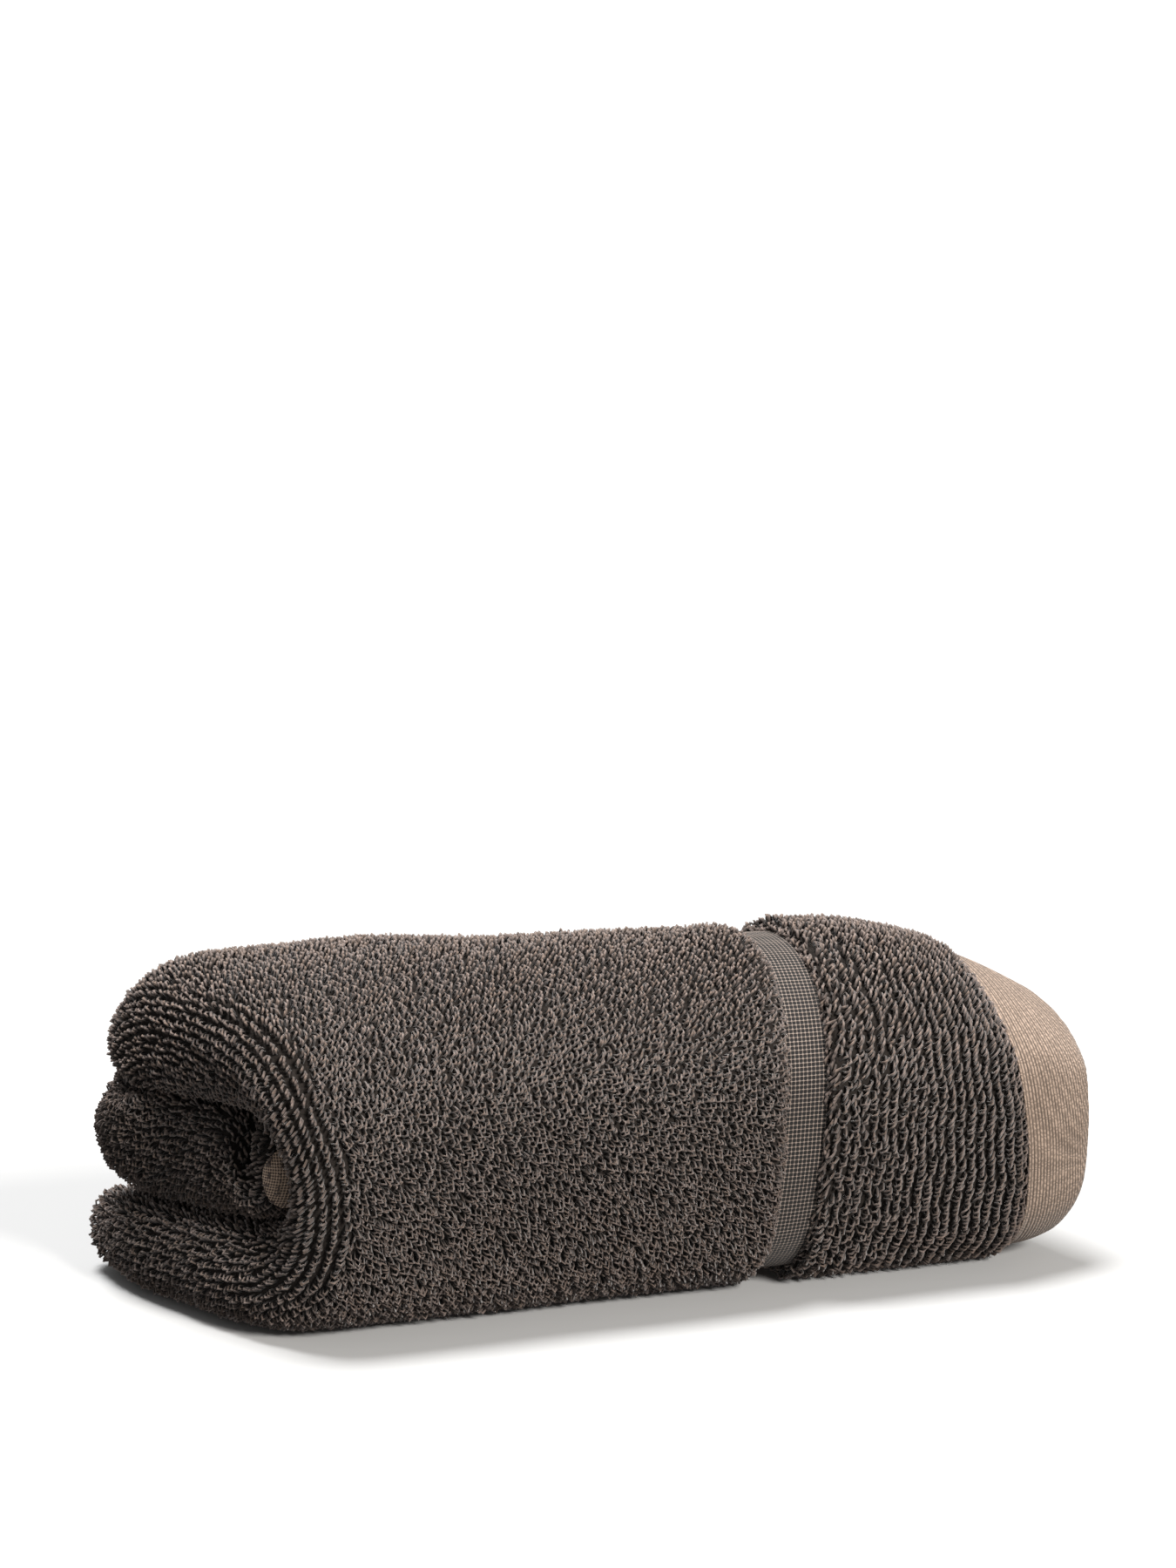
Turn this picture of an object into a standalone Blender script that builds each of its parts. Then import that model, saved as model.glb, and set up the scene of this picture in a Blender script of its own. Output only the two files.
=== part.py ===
"""A terry hand towel, folded in thirds along its length and rolled up, as one closed solid of its wound form.

The towel is one piece of cloth. Folded, it is a thick pad with a soft fold at its left end and the sewn hem
at its right end. The pad is wound from its tail, which lies on the ground at the back, under the roll, up the
front, over the top, down the back and in to the core.

The solid is a sweep. Each station along the winding has a closed ring: up the left fold, along the outer
face with its flat woven band, its ribbed border and its hem, round the right end with the hem's free edge,
and back along the inner face. Units are metres, X runs along the roll and +Y to its back, and Z is up.
"""

from typing import NamedTuple

import bmesh
import bpy
import numpy as np

# Size of the roll
ROLL_LENGTH = 0.272
ROLL_HEIGHT = 0.104
RIGHT_SHRINK = 0.065  # the right end is wound tighter than the left by this share
SHRINK_FROM = 0.040
SWELL = 0.015  # the left part is this share looser, most of all at SWELL_AT
SWELL_AT = 0.050
SWELL_SPREAD = 0.060

# The outer face, from the left end of the roll
BAND_START = 0.1670
BAND_WIDTH = 0.0145
BAND_LEAN = 0.0110  # how far the band and the border shift to the right at the top
BAND_DEPTH = 0.0032
BAND_RAMP = 0.0022
CLIFF_RAMP = 0.0006  # how far the border's steep edge leans
RIB_COUNT = 20
RIB_DEPTH = 0.0009
RIB_CREST_AT = 0.45  # of the way through a rib
BORDER_PROUD = 0.0008  # the ribbed border stands this much above the main pile
HEM_STEP = 0.0026
HEM_STEP_RUN = 0.0008

# The ends of the pad
FOLD_INNER = 0.010  # how far the left fold rounds off on its inner side
FOLD_FULLNESS = 0.80  # under 1 makes a rounding blunter than a circle
HEM_TURN = 0.0060  # how far the hem rounds off where it turns over the right end
HEM_TURN_SHARE = 0.42  # and how much of the thickness that rounding takes
HEM_EDGE_AT = 0.34  # where the free edge lies, from the inner face (0) to the outer (1)
HEM_LIP = 0.0026  # how far the free edge stands out from the folds inside it
END_FOLDS = ((0.0, 0.31), (0.0012, 0.14), (0.0050, 0.0))  # set back from the lip, and share of the thickness
TIP_TURN = np.radians(84)  # how far round the tail and the core are closed by a curve
TIP_RINGS = 5
TIP_PULL = 0.006  # how far the ends draw in at the tail and the core
SINK_REACH = 0.004  # the outer face sinks towards the hem over this length
SINK_SPREAD = 2.7  # and over this many times the drop
SINK_POWER = 1.8

# The cloth's unevenness
WAVES = ((0.0170, 2.1, 0.0), (0.0100, -3.3, 1.0))  # length, turn with the winding, start
WAVE_DEPTH = 0.00035
WAVE_FADE = 0.015  # full above this height

# How finely the sweep is cut
STATIONS = 66
LEAST_STEP = 0.006  # a shorter step counts as this, so that a tight bend still gets its sections
FOLD_INNER_POINTS = 4
FOLD_OUTER_POINTS = 5
PLAIN_POINTS = 5
SHOULDER_POINTS = 5
HEM_TURN_POINTS = 3
INNER_POINTS = 5

CLOTH_COLOUR = (0.060, 0.049, 0.041, 1.0)
CLOTH_ROUGHNESS = 0.95


class Station(NamedTuple):
    """One section of the pad, seen from the left end: `front` is towards -Y, `up` is +Z."""

    place: str
    out_front: float
    out_up: float
    in_front: float
    in_up: float
    left: float  # where the fold starts along the roll
    right: float  # where the hem ends along the roll
    hem: float  # where the ribbed border gives way to the hem
    drop: float  # how far the outer face sinks towards the right end
    rounding: float  # how far the left fold rounds off on its outer side
    relief: float  # the share of the band's, ribs' and hem's relief that is left where turns press


WINDING = (
    Station("tail", -0.0580, 0.0020, -0.0580, 0.0250, -0.0020, 0.2540, 0.2470, 0.0030, 0.012, 1.0),
    Station("under the back", -0.0340, 0.0000, -0.0350, 0.0268, 0.0000, 0.2590, 0.2490, 0.0030, 0.016, 1.0),
    Station("flat spot, back", -0.0120, 0.0000, -0.0140, 0.0285, 0.0060, 0.2640, 0.2510, 0.0030, 0.021, 1.0),
    Station("flat spot, front", 0.0100, 0.0000, 0.0070, 0.0305, 0.0120, 0.2670, 0.2515, 0.0035, 0.024, 1.0),
    Station("front foot", 0.0290, 0.0045, 0.0190, 0.0318, 0.0185, 0.2690, 0.2515, 0.0045, 0.024, 1.0),
    Station("front, low", 0.0410, 0.0155, 0.0265, 0.0350, 0.0235, 0.2710, 0.2505, 0.0060, 0.022, 1.0),
    Station("front, under the middle", 0.0475, 0.0320, 0.0312, 0.0410, 0.0255, 0.2720, 0.2490, 0.0080, 0.020, 1.0),
    Station("front", 0.0500, 0.0520, 0.0330, 0.0520, 0.0240, 0.2720, 0.2470, 0.0095, 0.020, 1.0),
    Station("front, over the middle", 0.0470, 0.0720, 0.0300, 0.0605, 0.0190, 0.2720, 0.2450, 0.0120, 0.022, 1.0),
    Station("front shoulder", 0.0365, 0.0890, 0.0225, 0.0642, 0.0150, 0.2710, 0.2420, 0.0165, 0.025, 1.0),
    Station("top, front", 0.0200, 0.1002, 0.0120, 0.0652, 0.0090, 0.2690, 0.2395, 0.0195, 0.027, 1.0),
    Station("top", 0.0000, 0.1040, 0.0010, 0.0652, 0.0035, 0.2670, 0.2380, 0.0210, 0.028, 1.0),
    Station("top, back", -0.0200, 0.1015, -0.0090, 0.0644, -0.0010, 0.2640, 0.2380, 0.0195, 0.027, 1.0),
    Station("back shoulder", -0.0390, 0.0915, -0.0170, 0.0634, -0.0030, 0.2620, 0.2400, 0.0160, 0.025, 1.0),
    Station("back, high", -0.0510, 0.0770, -0.0215, 0.0626, -0.0030, 0.2600, 0.2430, 0.0110, 0.022, 1.0),
    Station("back", -0.0560, 0.0640, -0.0230, 0.0616, 0.0010, 0.2580, 0.2450, 0.0080, 0.020, 0.8),
    Station("back, low", -0.0565, 0.0460, -0.0220, 0.0618, -0.0055, 0.2580, 0.2480, 0.0060, 0.018, 0.6),
    Station("turn to the core", -0.0510, 0.0335, -0.0185, 0.0628, -0.0050, 0.2600, 0.2500, 0.0050, 0.014, 0.4),
    Station("middle, back", -0.0360, 0.0287, -0.0135, 0.0635, 0.0010, 0.2620, 0.2520, 0.0040, 0.011, 0.3),
    Station("middle", -0.0200, 0.0297, -0.0080, 0.0640, 0.0065, 0.2635, 0.2535, 0.0040, 0.010, 0.3),
    Station("middle, front", -0.0020, 0.0312, 0.0030, 0.0640, 0.0105, 0.2645, 0.2545, 0.0040, 0.010, 0.3),
    Station("core foot", 0.0120, 0.0328, 0.0100, 0.0600, 0.0145, 0.2655, 0.2555, 0.0040, 0.010, 0.3),
    Station("core turn", 0.0225, 0.0352, 0.0112, 0.0520, 0.0165, 0.2665, 0.2565, 0.0040, 0.010, 0.3),
    Station("core, low", 0.0278, 0.0395, 0.0122, 0.0475, 0.0190, 0.2670, 0.2570, 0.0040, 0.010, 0.3),
    Station("core", 0.0306, 0.0480, 0.0136, 0.0495, 0.0205, 0.2670, 0.2570, 0.0040, 0.010, 0.3),
    Station("core, high", 0.0290, 0.0550, 0.0145, 0.0535, 0.0205, 0.2670, 0.2570, 0.0040, 0.010, 0.3),
)


def clear_scene():
    """Removes whatever the scene holds."""
    for obj in list(bpy.data.objects):
        bpy.data.objects.remove(obj, do_unlink=True)


def cloth_material():
    """The finish of dark terry."""
    material = bpy.data.materials.new("terry")
    material.use_nodes = True
    shader = material.node_tree.nodes["Principled BSDF"]
    shader.inputs["Base Color"].default_value = CLOTH_COLOUR
    shader.inputs["Roughness"].default_value = CLOTH_ROUGHNESS
    shader.inputs["Metallic"].default_value = 0.0
    return material


def smooth_rows(rows, count):
    """Reads `count` evenly spaced sections from a smooth curve through the rows."""
    middle = (rows[:, 0:2] + rows[:, 2:4]) / 2
    steps = np.linalg.norm(np.diff(middle, axis=0), axis=1)
    along = np.concatenate([[0], np.cumsum(np.maximum(steps, LEAST_STEP))])
    slopes = np.gradient(rows, along, axis=0)
    at = np.linspace(0, along[-1], count)
    index = np.clip(np.searchsorted(along, at, side="right") - 1, 0, len(along) - 2)
    span = (along[index + 1] - along[index])[:, None]
    t = (at - along[index])[:, None] / span
    start = rows[index] * (2 * t**3 - 3 * t**2 + 1) + slopes[index] * span * (t**3 - 2 * t**2 + t)
    end = rows[index + 1] * (3 * t**2 - 2 * t**3) + slopes[index + 1] * span * (t**3 - t**2)
    return start + end


def closing_sections(first, second):
    """Sections that round off the pad beyond `first`, away from `second`, outermost first."""
    outer, inner = first[0:2], first[2:4]
    middle = (outer + inner) / 2
    half = (outer - inner) / 2
    inward = (second[0:2] + second[2:4]) / 2 - middle
    reach = np.linalg.norm(half) * inward / -np.linalg.norm(inward)
    sections = []
    for step in range(TIP_RINGS, 0, -1):
        turn = TIP_TURN * step / TIP_RINGS
        centre = middle + reach * np.sin(turn)
        rest = first[4:].copy()
        rest[0] += TIP_PULL * (1 - np.cos(turn))
        rest[1] -= TIP_PULL * (1 - np.cos(turn))
        # The drop and the relief shrink with the thickness, so that the outer face never passes the inner one.
        rest[3] *= np.cos(turn)
        rest[5] *= np.cos(turn)
        sections.append(np.concatenate([centre + half * np.cos(turn), centre - half * np.cos(turn), rest]))
    return np.array(sections)


def all_sections():
    """Every section of the sweep, from the tail's tip to the core's."""
    rows = np.array([station[1:] for station in WINDING])
    body = smooth_rows(rows, STATIONS)
    tail = closing_sections(body[0], body[1])
    core = closing_sections(body[-1], body[-2])[::-1]
    return np.concatenate([tail, body, core])


def rounded(turn):
    """Cosine and sine of a blunt rounding."""
    cosine, sine = np.cos(turn), np.sin(turn)
    return abs(cosine) ** FOLD_FULLNESS, np.sign(sine) * abs(sine) ** FOLD_FULLNESS


def left_fold(left, rounding):
    """The left fold, from the inner face to the outer, as rows like those of `outer_face`."""
    points = []
    for turn in np.linspace(-np.pi / 2, 0, FOLD_INNER_POINTS, endpoint=False):
        cosine, sine = rounded(turn)
        points.append((left + FOLD_INNER * (1 - cosine), 0.5 + 0.5 * sine, 0.0))
    for turn in np.linspace(0, np.pi / 2, FOLD_OUTER_POINTS):
        cosine, sine = rounded(turn)
        points.append((left + rounding * (1 - cosine), 0.5 + 0.5 * sine, 0.0))
    return points


def outer_face(start, hem, band):
    """The outer face up to the hem: (along the roll, share of the thickness, height above the pile)."""
    band_end = band + BAND_WIDTH
    points = [(x, 1.0, 0.0) for x in np.linspace(start, band, PLAIN_POINTS + 2)[1:]]
    points.append((band + BAND_RAMP, 1.0, -BAND_DEPTH))
    points.append((band_end - CLIFF_RAMP, 1.0, -BAND_DEPTH))
    pitch = (hem - band_end) / RIB_COUNT
    for rib in range(RIB_COUNT):
        points.append((band_end + pitch * (rib + RIB_CREST_AT), 1.0, BORDER_PROUD))
        if rib < RIB_COUNT - 1:
            points.append((band_end + pitch * (rib + 1), 1.0, BORDER_PROUD - RIB_DEPTH))
    points.append((hem, 1.0, 0.0))
    return points


def hem_and_end(right, hem):
    """The hem, its turn over the right end, its free edge and the folds inside it."""
    points = [(hem + HEM_STEP_RUN, 1.0, -HEM_STEP)]
    for x in np.linspace(hem, right - HEM_TURN, SHOULDER_POINTS)[1:]:
        points.append((x, 1.0, -HEM_STEP))
    for turn in np.linspace(0, np.pi / 2, HEM_TURN_POINTS + 1, endpoint=False)[1:]:
        share = 1 - HEM_TURN_SHARE * (1 - np.cos(turn))
        points.append((right - HEM_TURN * (1 - np.sin(turn)), share, -HEM_STEP))
    points.append((right, HEM_EDGE_AT, 0.0))
    for back, share in END_FOLDS:
        points.append((right - HEM_LIP - back, share, 0.0))
    return points


def inner_face(left, right):
    """The inner face, back to the left fold."""
    start = right - HEM_LIP - END_FOLDS[-1][0]
    return [(x, 0.0, 0.0) for x in np.linspace(start, left + FOLD_INNER, INNER_POINTS + 2)[1:-1]]


def unevenness(along, outer):
    """The slow rise and fall of the outer face, which fades out where the roll rests."""
    turn = np.arctan2(outer[1] - ROLL_HEIGHT / 2, outer[0])
    wave = sum(np.sin(along / length + twist * turn + start) for length, twist, start in WAVES)
    return WAVE_DEPTH * wave * np.clip(outer[1] / WAVE_FADE, 0, 1)


def ring(section):
    """One closed ring of points of the sweep."""
    outer, inner = section[0:2], section[2:4]
    left, right, hem, drop, rounding, relief = section[4:]
    band = BAND_START + BAND_LEAN * (outer[1] / ROLL_HEIGHT) ** 2
    profile = left_fold(left, rounding) + outer_face(left + rounding, hem, band)
    profile += hem_and_end(right, hem) + inner_face(left, right)
    along, share, raised = np.array(profile).T
    thickness = np.linalg.norm(outer - inner)
    sink_from = right - SINK_REACH - SINK_SPREAD * drop
    sink = np.clip((along - sink_from) / (right - sink_from), 0, 1)
    sunk = drop * sink**SINK_POWER
    # The outer face sinks and rises by a distance, and what lies under it follows in proportion.
    raised = raised * relief + unevenness(along, outer)
    reach = share * (1 + (raised - sunk) / thickness)
    flat = inner + np.outer(reach, outer - inner)
    return along, flat


def placed(along, flat):
    """A ring in space. The right end is wound tighter, and nothing reaches below the ground."""
    share = np.clip((along - SHRINK_FROM) / (ROLL_LENGTH - SHRINK_FROM), 0, 1)
    swell = SWELL * np.exp(-(((along - SWELL_AT) / SWELL_SPREAD) ** 2))
    flat = flat * (1 - RIGHT_SHRINK * share + swell)[:, None]
    return np.column_stack([along, -flat[:, 0], np.maximum(flat[:, 1], 0.0)])


def centred(rings):
    """The rings moved so that the middle of their outline, seen from above, is the origin."""
    places = np.concatenate(rings)
    middle = (places.min(axis=0) + places.max(axis=0)) / 2
    middle[2] = 0.0
    return [ring_places - middle for ring_places in rings]


def towel_mesh():
    """The closed mesh of the rolled towel."""
    mesh = bpy.data.meshes.new("towel")
    shape = bmesh.new()
    rings = []
    for places in centred([placed(*ring(section)) for section in all_sections()]):
        rings.append([shape.verts.new(place) for place in places])
    for before, after in zip(rings, rings[1:]):
        for i in range(len(before)):
            j = (i + 1) % len(before)
            shape.faces.new((before[i], before[j], after[j], after[i]))
    shape.faces.new(rings[0][::-1])
    shape.faces.new(rings[-1])
    bmesh.ops.triangulate(shape, faces=shape.faces[:])
    bmesh.ops.recalc_face_normals(shape, faces=shape.faces[:])
    shape.to_mesh(mesh)
    shape.free()
    return mesh


def build_towel():
    """The rolled towel, resting on the ground."""
    mesh = towel_mesh()
    mesh.materials.append(cloth_material())
    mesh.shade_smooth()
    mesh.set_sharp_from_angle(angle=np.radians(50))
    towel = bpy.data.objects.new("towel", mesh)
    bpy.context.scene.collection.objects.link(towel)
    return towel


def main():
    clear_scene()
    build_towel()


main()
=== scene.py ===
"""The looks of a terry hand towel, folded in thirds and rolled up.

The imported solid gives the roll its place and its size. The cloth here follows the same winding, cut finer.
Its ground weave lies a little inside the solid, and loops of yarn stand on it in rows, as the loom lays them.
A flat woven band, a border of ribs and a plain hem end the cloth at the right, and a studio with a pale floor
goes round it.
"""

import logging
import math
from collections.abc import Sequence
from dataclasses import dataclass, field, fields, replace
from enum import Enum
from typing import Any, NamedTuple

import bpy
import numpy as np
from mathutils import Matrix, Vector
from mathutils.bvhtree import BVHTree


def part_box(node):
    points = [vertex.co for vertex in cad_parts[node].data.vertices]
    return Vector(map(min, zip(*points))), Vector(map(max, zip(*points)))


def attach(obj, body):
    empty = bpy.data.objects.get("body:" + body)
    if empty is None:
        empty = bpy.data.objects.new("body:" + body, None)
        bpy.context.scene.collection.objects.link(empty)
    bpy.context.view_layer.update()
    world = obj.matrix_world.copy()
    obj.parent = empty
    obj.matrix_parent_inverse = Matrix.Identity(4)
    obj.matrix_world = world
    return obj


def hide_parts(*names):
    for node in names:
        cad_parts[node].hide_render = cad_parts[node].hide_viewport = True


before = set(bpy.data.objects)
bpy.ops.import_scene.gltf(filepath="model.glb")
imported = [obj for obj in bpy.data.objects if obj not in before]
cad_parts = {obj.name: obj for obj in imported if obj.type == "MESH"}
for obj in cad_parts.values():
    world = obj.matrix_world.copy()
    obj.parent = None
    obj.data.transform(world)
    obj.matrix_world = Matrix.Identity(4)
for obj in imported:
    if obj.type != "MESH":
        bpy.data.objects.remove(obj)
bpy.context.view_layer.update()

log = logging.getLogger("towel")

BODY = "root"
NODE = "towel"
SEED = 11
BAKE_MAP = "OFBake"
WEAVE_MAP = "weave"
YARN_SHADES = 32  # how many shades the loops have, each a column of their map
TONE_TOP = 0.999  # the highest tone, so that it still falls in the last column

Array = np.ndarray
Colour = tuple[float, float, float]


# Shader helpers


class Value:
    """A socket that carries a number, so that shader sums read as Python."""

    def __init__(self, nodes: "Nodes", socket: bpy.types.NodeSocket) -> None:
        """Keeps the socket and the node tree that it is in."""
        self.nodes = nodes
        self.socket = socket

    def math(self, operation: str, *others: "Value | float") -> "Value":
        """A Math node on this value and the others.

        Args:
            operation: the Math node's operation.
            others: the values of its other sockets.

        Returns:
            The node's result.
        """
        sockets = dict(enumerate((self, *others)))
        return self.nodes.value("ShaderNodeMath", {"operation": operation}, sockets)

    def __add__(self, other: "Value | float") -> "Value":
        """self + other."""
        return self.math("ADD", other)

    def __radd__(self, other: float) -> "Value":
        """other + self."""
        return self.math("ADD", other)

    def __sub__(self, other: "Value | float") -> "Value":
        """self - other."""
        return self.math("SUBTRACT", other)

    def __rsub__(self, other: float) -> "Value":
        """other - self."""
        return (self * -1.0) + other

    def __mul__(self, other: "Value | float") -> "Value":
        """self * other."""
        return self.math("MULTIPLY", other)

    def __rmul__(self, other: float) -> "Value":
        """other * self."""
        return self.math("MULTIPLY", other)

    def __pow__(self, other: "Value | float") -> "Value":
        """self ** other."""
        return self.math("POWER", other)

    def wave(self) -> "Value":
        """A cosine with a period of 1, from 0 to 1."""
        return (self * math.tau).math("COSINE") * 0.5 + 0.5

    def clamped(self) -> "Value":
        """The value held between 0 and 1."""
        return self.math("MAXIMUM", 0.0).math("MINIMUM", 1.0)


class Nodes:
    """A material's node tree, with its Principled shader."""

    def __init__(self, name: str) -> None:
        """Makes the material.

        Args:
            name: the material's name.
        """
        self.material = bpy.data.materials.new(name)
        self.material.use_nodes = True
        self.tree = self.material.node_tree
        self.shader = self.tree.nodes["Principled BSDF"]

    def add(self, kind: str, settings: dict[str, Any], sockets: dict[Any, Any]) -> bpy.types.Node:
        """Adds a node.

        Args:
            kind: the node's type.
            settings: its own settings, which are set first.
            sockets: the values or links of its sockets, by name or number.

        Returns:
            The node.
        """
        node = self.tree.nodes.new(kind)
        for name, setting in settings.items():
            setattr(node, name, setting)
        for name, value in sockets.items():
            self.feed(value, node.inputs[name])
        return node

    def value(self, kind: str, settings: dict[str, Any], sockets: dict[Any, Any], out: Any = 0) -> Value:
        """Adds a node and returns one of its results.

        Args:
            kind: the node's type.
            settings: as in `add`.
            sockets: as in `add`.
            out: the name or number of the result.

        Returns:
            The result.
        """
        return Value(self, self.add(kind, settings, sockets).outputs[out])

    def feed(self, value: Any, socket: bpy.types.NodeSocket) -> None:
        """Links a value to a socket, or sets a plain number there.

        Args:
            value: the value, or the number or colour.
            socket: the socket.
        """
        if isinstance(value, Value):
            self.tree.links.new(value.socket, socket)
        else:
            socket.default_value = value

    def dress(self, **sockets: Any) -> bpy.types.Material:
        """Sets the shader's sockets, named with _ for a space.

        Args:
            sockets: the values or links.

        Returns:
            The material.
        """
        for name, value in sockets.items():
            self.feed(value, self.shader.inputs[name.replace("_", " ")])
        return self.material

    def map(self, name: str) -> tuple[Value, Value]:
        """The two coordinates of a UV map.

        Args:
            name: the map's name.

        Returns:
            The coordinate across and the one along.
        """
        coordinates = self.value("ShaderNodeUVMap", {"uv_map": name}, {})
        split = self.add("ShaderNodeSeparateXYZ", {}, {0: coordinates})
        return Value(self, split.outputs[0]), Value(self, split.outputs[1])

    def place(self) -> Value:
        """The place on the object, in metres."""
        return self.value("ShaderNodeTexCoord", {}, {}, "Object")

    def noise(self, scale: float, detail: float) -> Value:
        """Noise over the object, about 0.5 on average.

        Args:
            scale: lumps in a metre.
            detail: how many finer layers it has.

        Returns:
            The noise.
        """
        sockets = {"Vector": self.place(), "Scale": scale, "Detail": detail}
        return self.value("ShaderNodeTexNoise", {}, sockets, 0)

    def blend(self, share: Value | float, first: Any, second: Any) -> Value:
        """A colour between two.

        Args:
            share: 0 for the first, 1 for the second.
            first: a colour.
            second: a colour.

        Returns:
            The mixed colour.
        """
        colours = {0: share, 6: self.colour(first), 7: self.colour(second)}
        return self.value("ShaderNodeMix", {"data_type": "RGBA"}, colours, 2)

    @staticmethod
    def colour(value: Any) -> Any:
        """A plain colour with its fourth number, or a link as it is."""
        return value if isinstance(value, Value) else (*value, 1.0)

    def bump(self, height: Value, depth: float) -> Value:
        """A bump for the Normal socket.

        Args:
            height: the relief, 0 to 1.
            depth: its depth in metres.

        Returns:
            The bent normal.
        """
        return self.value("ShaderNodeBump", {}, {"Strength": 1.0, "Distance": depth, "Height": height})


# Finishes


@dataclass(frozen=True)
class YarnFinish:
    """Dark cotton yarn of the pile.

    Its map holds the loop's own shade across and the height up the loop along. Light and shade are painted by
    height: each loop is painted dark as shade at its foot and lighter up to its tip, and painted shade
    darkens the grooves between its plies.
    """

    name: str
    # painted shade: the foot colour is the shade deep in the pile, at a loop's foot and between its plies
    foot: Colour = (0.0095, 0.0072, 0.0060)
    dark: Colour = (0.053, 0.0392, 0.0338)
    light: Colour = (0.202, 0.157, 0.138)
    warm: Colour = (0.148, 0.103, 0.078)
    lit_from: float = 0.18  # below this share of its height a loop is painted as dark as its foot, as shade deep in the pile
    # how sharply the painted light rises towards the tip
    lit_power: float = 1.7
    ply_turns: float = 3.0
    # how far the painted shade between the plies darkens the yarn
    ply_shade_depth: float = 0.30
    warm_step: float = 0.37  # from one shade to the next, as a share of a wave of warmth
    warm_power: float = 3.0
    warm_share: float = 0.55

    def material(self) -> bpy.types.Material:
        """The yarn's material.

        Returns:
            The material.
        """
        nodes = Nodes(self.name)
        shade, height = nodes.map(BAKE_MAP)
        column = (shade * float(YARN_SHADES)).math("FLOOR")
        ply = (shade * float(YARN_SHADES) + height * self.ply_turns).wave()
        warmth = ((column * self.warm_step).wave() ** self.warm_power) * self.warm_share
        base = nodes.blend(shade, self.dark, self.light)
        toned = nodes.blend(warmth, base, self.warm)
        # painted shade in the grooves between the plies
        ply_shaded = nodes.blend((1.0 - ply) * self.ply_shade_depth, toned, self.foot)
        # painted light and shade: dark at the foot, lighter towards the tip
        tip = ((height - self.lit_from) * (1.0 / (1.0 - self.lit_from))).clamped() ** self.lit_power
        painted_tip_light = nodes.blend(tip, self.foot, ply_shaded)
        return nodes.dress(
            Base_Color=painted_tip_light, Roughness=0.92, Specular_IOR_Level=0.25, Sheen_Weight=0.12, Sheen_Roughness=0.5
        )


@dataclass(frozen=True)
class GroundFinish:
    """The ground weave under the loops, painted far darker than the yarn as the shade deep in the pile, which
    shows only as the dark between them.
    """

    name: str
    # painted shade: both colours are far darker than the yarn, as the shade deep in the pile
    dark: Colour = (0.006, 0.0050, 0.0044)
    light: Colour = (0.024, 0.0195, 0.0170)
    grain: float = 1400.0
    depth: float = 0.0004

    def material(self) -> bpy.types.Material:
        """The ground weave's material.

        Returns:
            The material.
        """
        nodes = Nodes(self.name)
        grain = nodes.noise(self.grain, 3.0)
        return nodes.dress(
            Base_Color=nodes.blend(grain, self.dark, self.light), Roughness=0.95, Specular_IOR_Level=0.1,
            Normal=nodes.bump(grain, self.depth),
        )


@dataclass(frozen=True)
class WovenFinish:
    """Flat weave of the band or the hem. Its weave map counts threads both ways. The holes and grooves
    between its threads are painted dark as shade.
    """

    name: str
    # painted shade: the dark colour in the holes and grooves between the threads
    gap: Colour
    thread: Colour
    crown: Colour
    open_weave: float  # how wide the holes between the threads are, or 0 for a close weave
    depth: float
    mottle: float = 55.0
    fibre: float = 2600.0
    fibre_share: float = 0.8  # how far the fibres, and the mottle, make the thread's shade
    mottle_share: float = 0.5
    darker: float = 0.2
    hole_power: float = 0.5
    column_power: float = 0.6
    column_step: float = 0.618  # how far a column's threads are set off from the last column's
    uneven: float = 420.0
    uneven_threads: float = 3.0
    relief_share: float = 0.8

    def material(self) -> bpy.types.Material:
        """The weave's material.

        Returns:
            The material.
        """
        nodes = Nodes(self.name)
        along, across = nodes.map(WEAVE_MAP)
        if self.open_weave > 0:
            hole = (along.wave() * across.wave()) ** self.hole_power
            relief = (1.0 - hole * (1.0 + self.open_weave)).clamped()
        else:
            columns = (1.0 - across.wave()) ** self.column_power
            step = across.math("FLOOR") * self.column_step
            dashes = (along + step + nodes.noise(self.uneven, 1.0) * self.uneven_threads).wave()
            relief = (columns * (dashes * 0.5 + 0.5)).clamped()
        fibre = nodes.noise(self.fibre, 2.0)
        mottle = nodes.noise(self.mottle, 2.0)
        shade = (fibre * self.fibre_share + mottle * self.mottle_share - self.darker).clamped()
        body = nodes.blend(shade, self.thread, self.crown)
        height = relief * self.relief_share + fibre * (1 - self.relief_share)
        # painted shade: where the relief is low, in holes and grooves, the colour goes to the gap's painted
        # shade
        return nodes.dress(
            Base_Color=nodes.blend(relief, self.gap, body), Roughness=0.85, Specular_IOR_Level=0.3,
            Sheen_Weight=0.08, Sheen_Roughness=0.5, Normal=nodes.bump(height, self.depth),
        )


@dataclass(frozen=True)
class FloorFinish:
    """The studio's plain pale floor."""

    name: str
    colour: Colour = (0.35, 0.35, 0.35)

    def material(self) -> bpy.types.Material:
        """The floor's material."""
        return Nodes(self.name).dress(Base_Color=(*self.colour, 1.0), Roughness=0.9, Specular_IOR_Level=0.0)


# The wound pad


class Station(NamedTuple):
    """One section of the pad, seen from the left end: `front` is towards -Y, `up` is +Z."""

    place: str
    out_front: float
    out_up: float
    in_front: float
    in_up: float
    left: float  # where the fold starts along the roll
    right: float  # where the hem ends along the roll
    hem: float  # where the ribbed border gives way to the hem
    drop: float  # how far the outer face sinks towards the right end
    rounding: float  # how far the left fold rounds off on its outer side
    relief: float  # the share of the relief that is left where turns press


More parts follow.
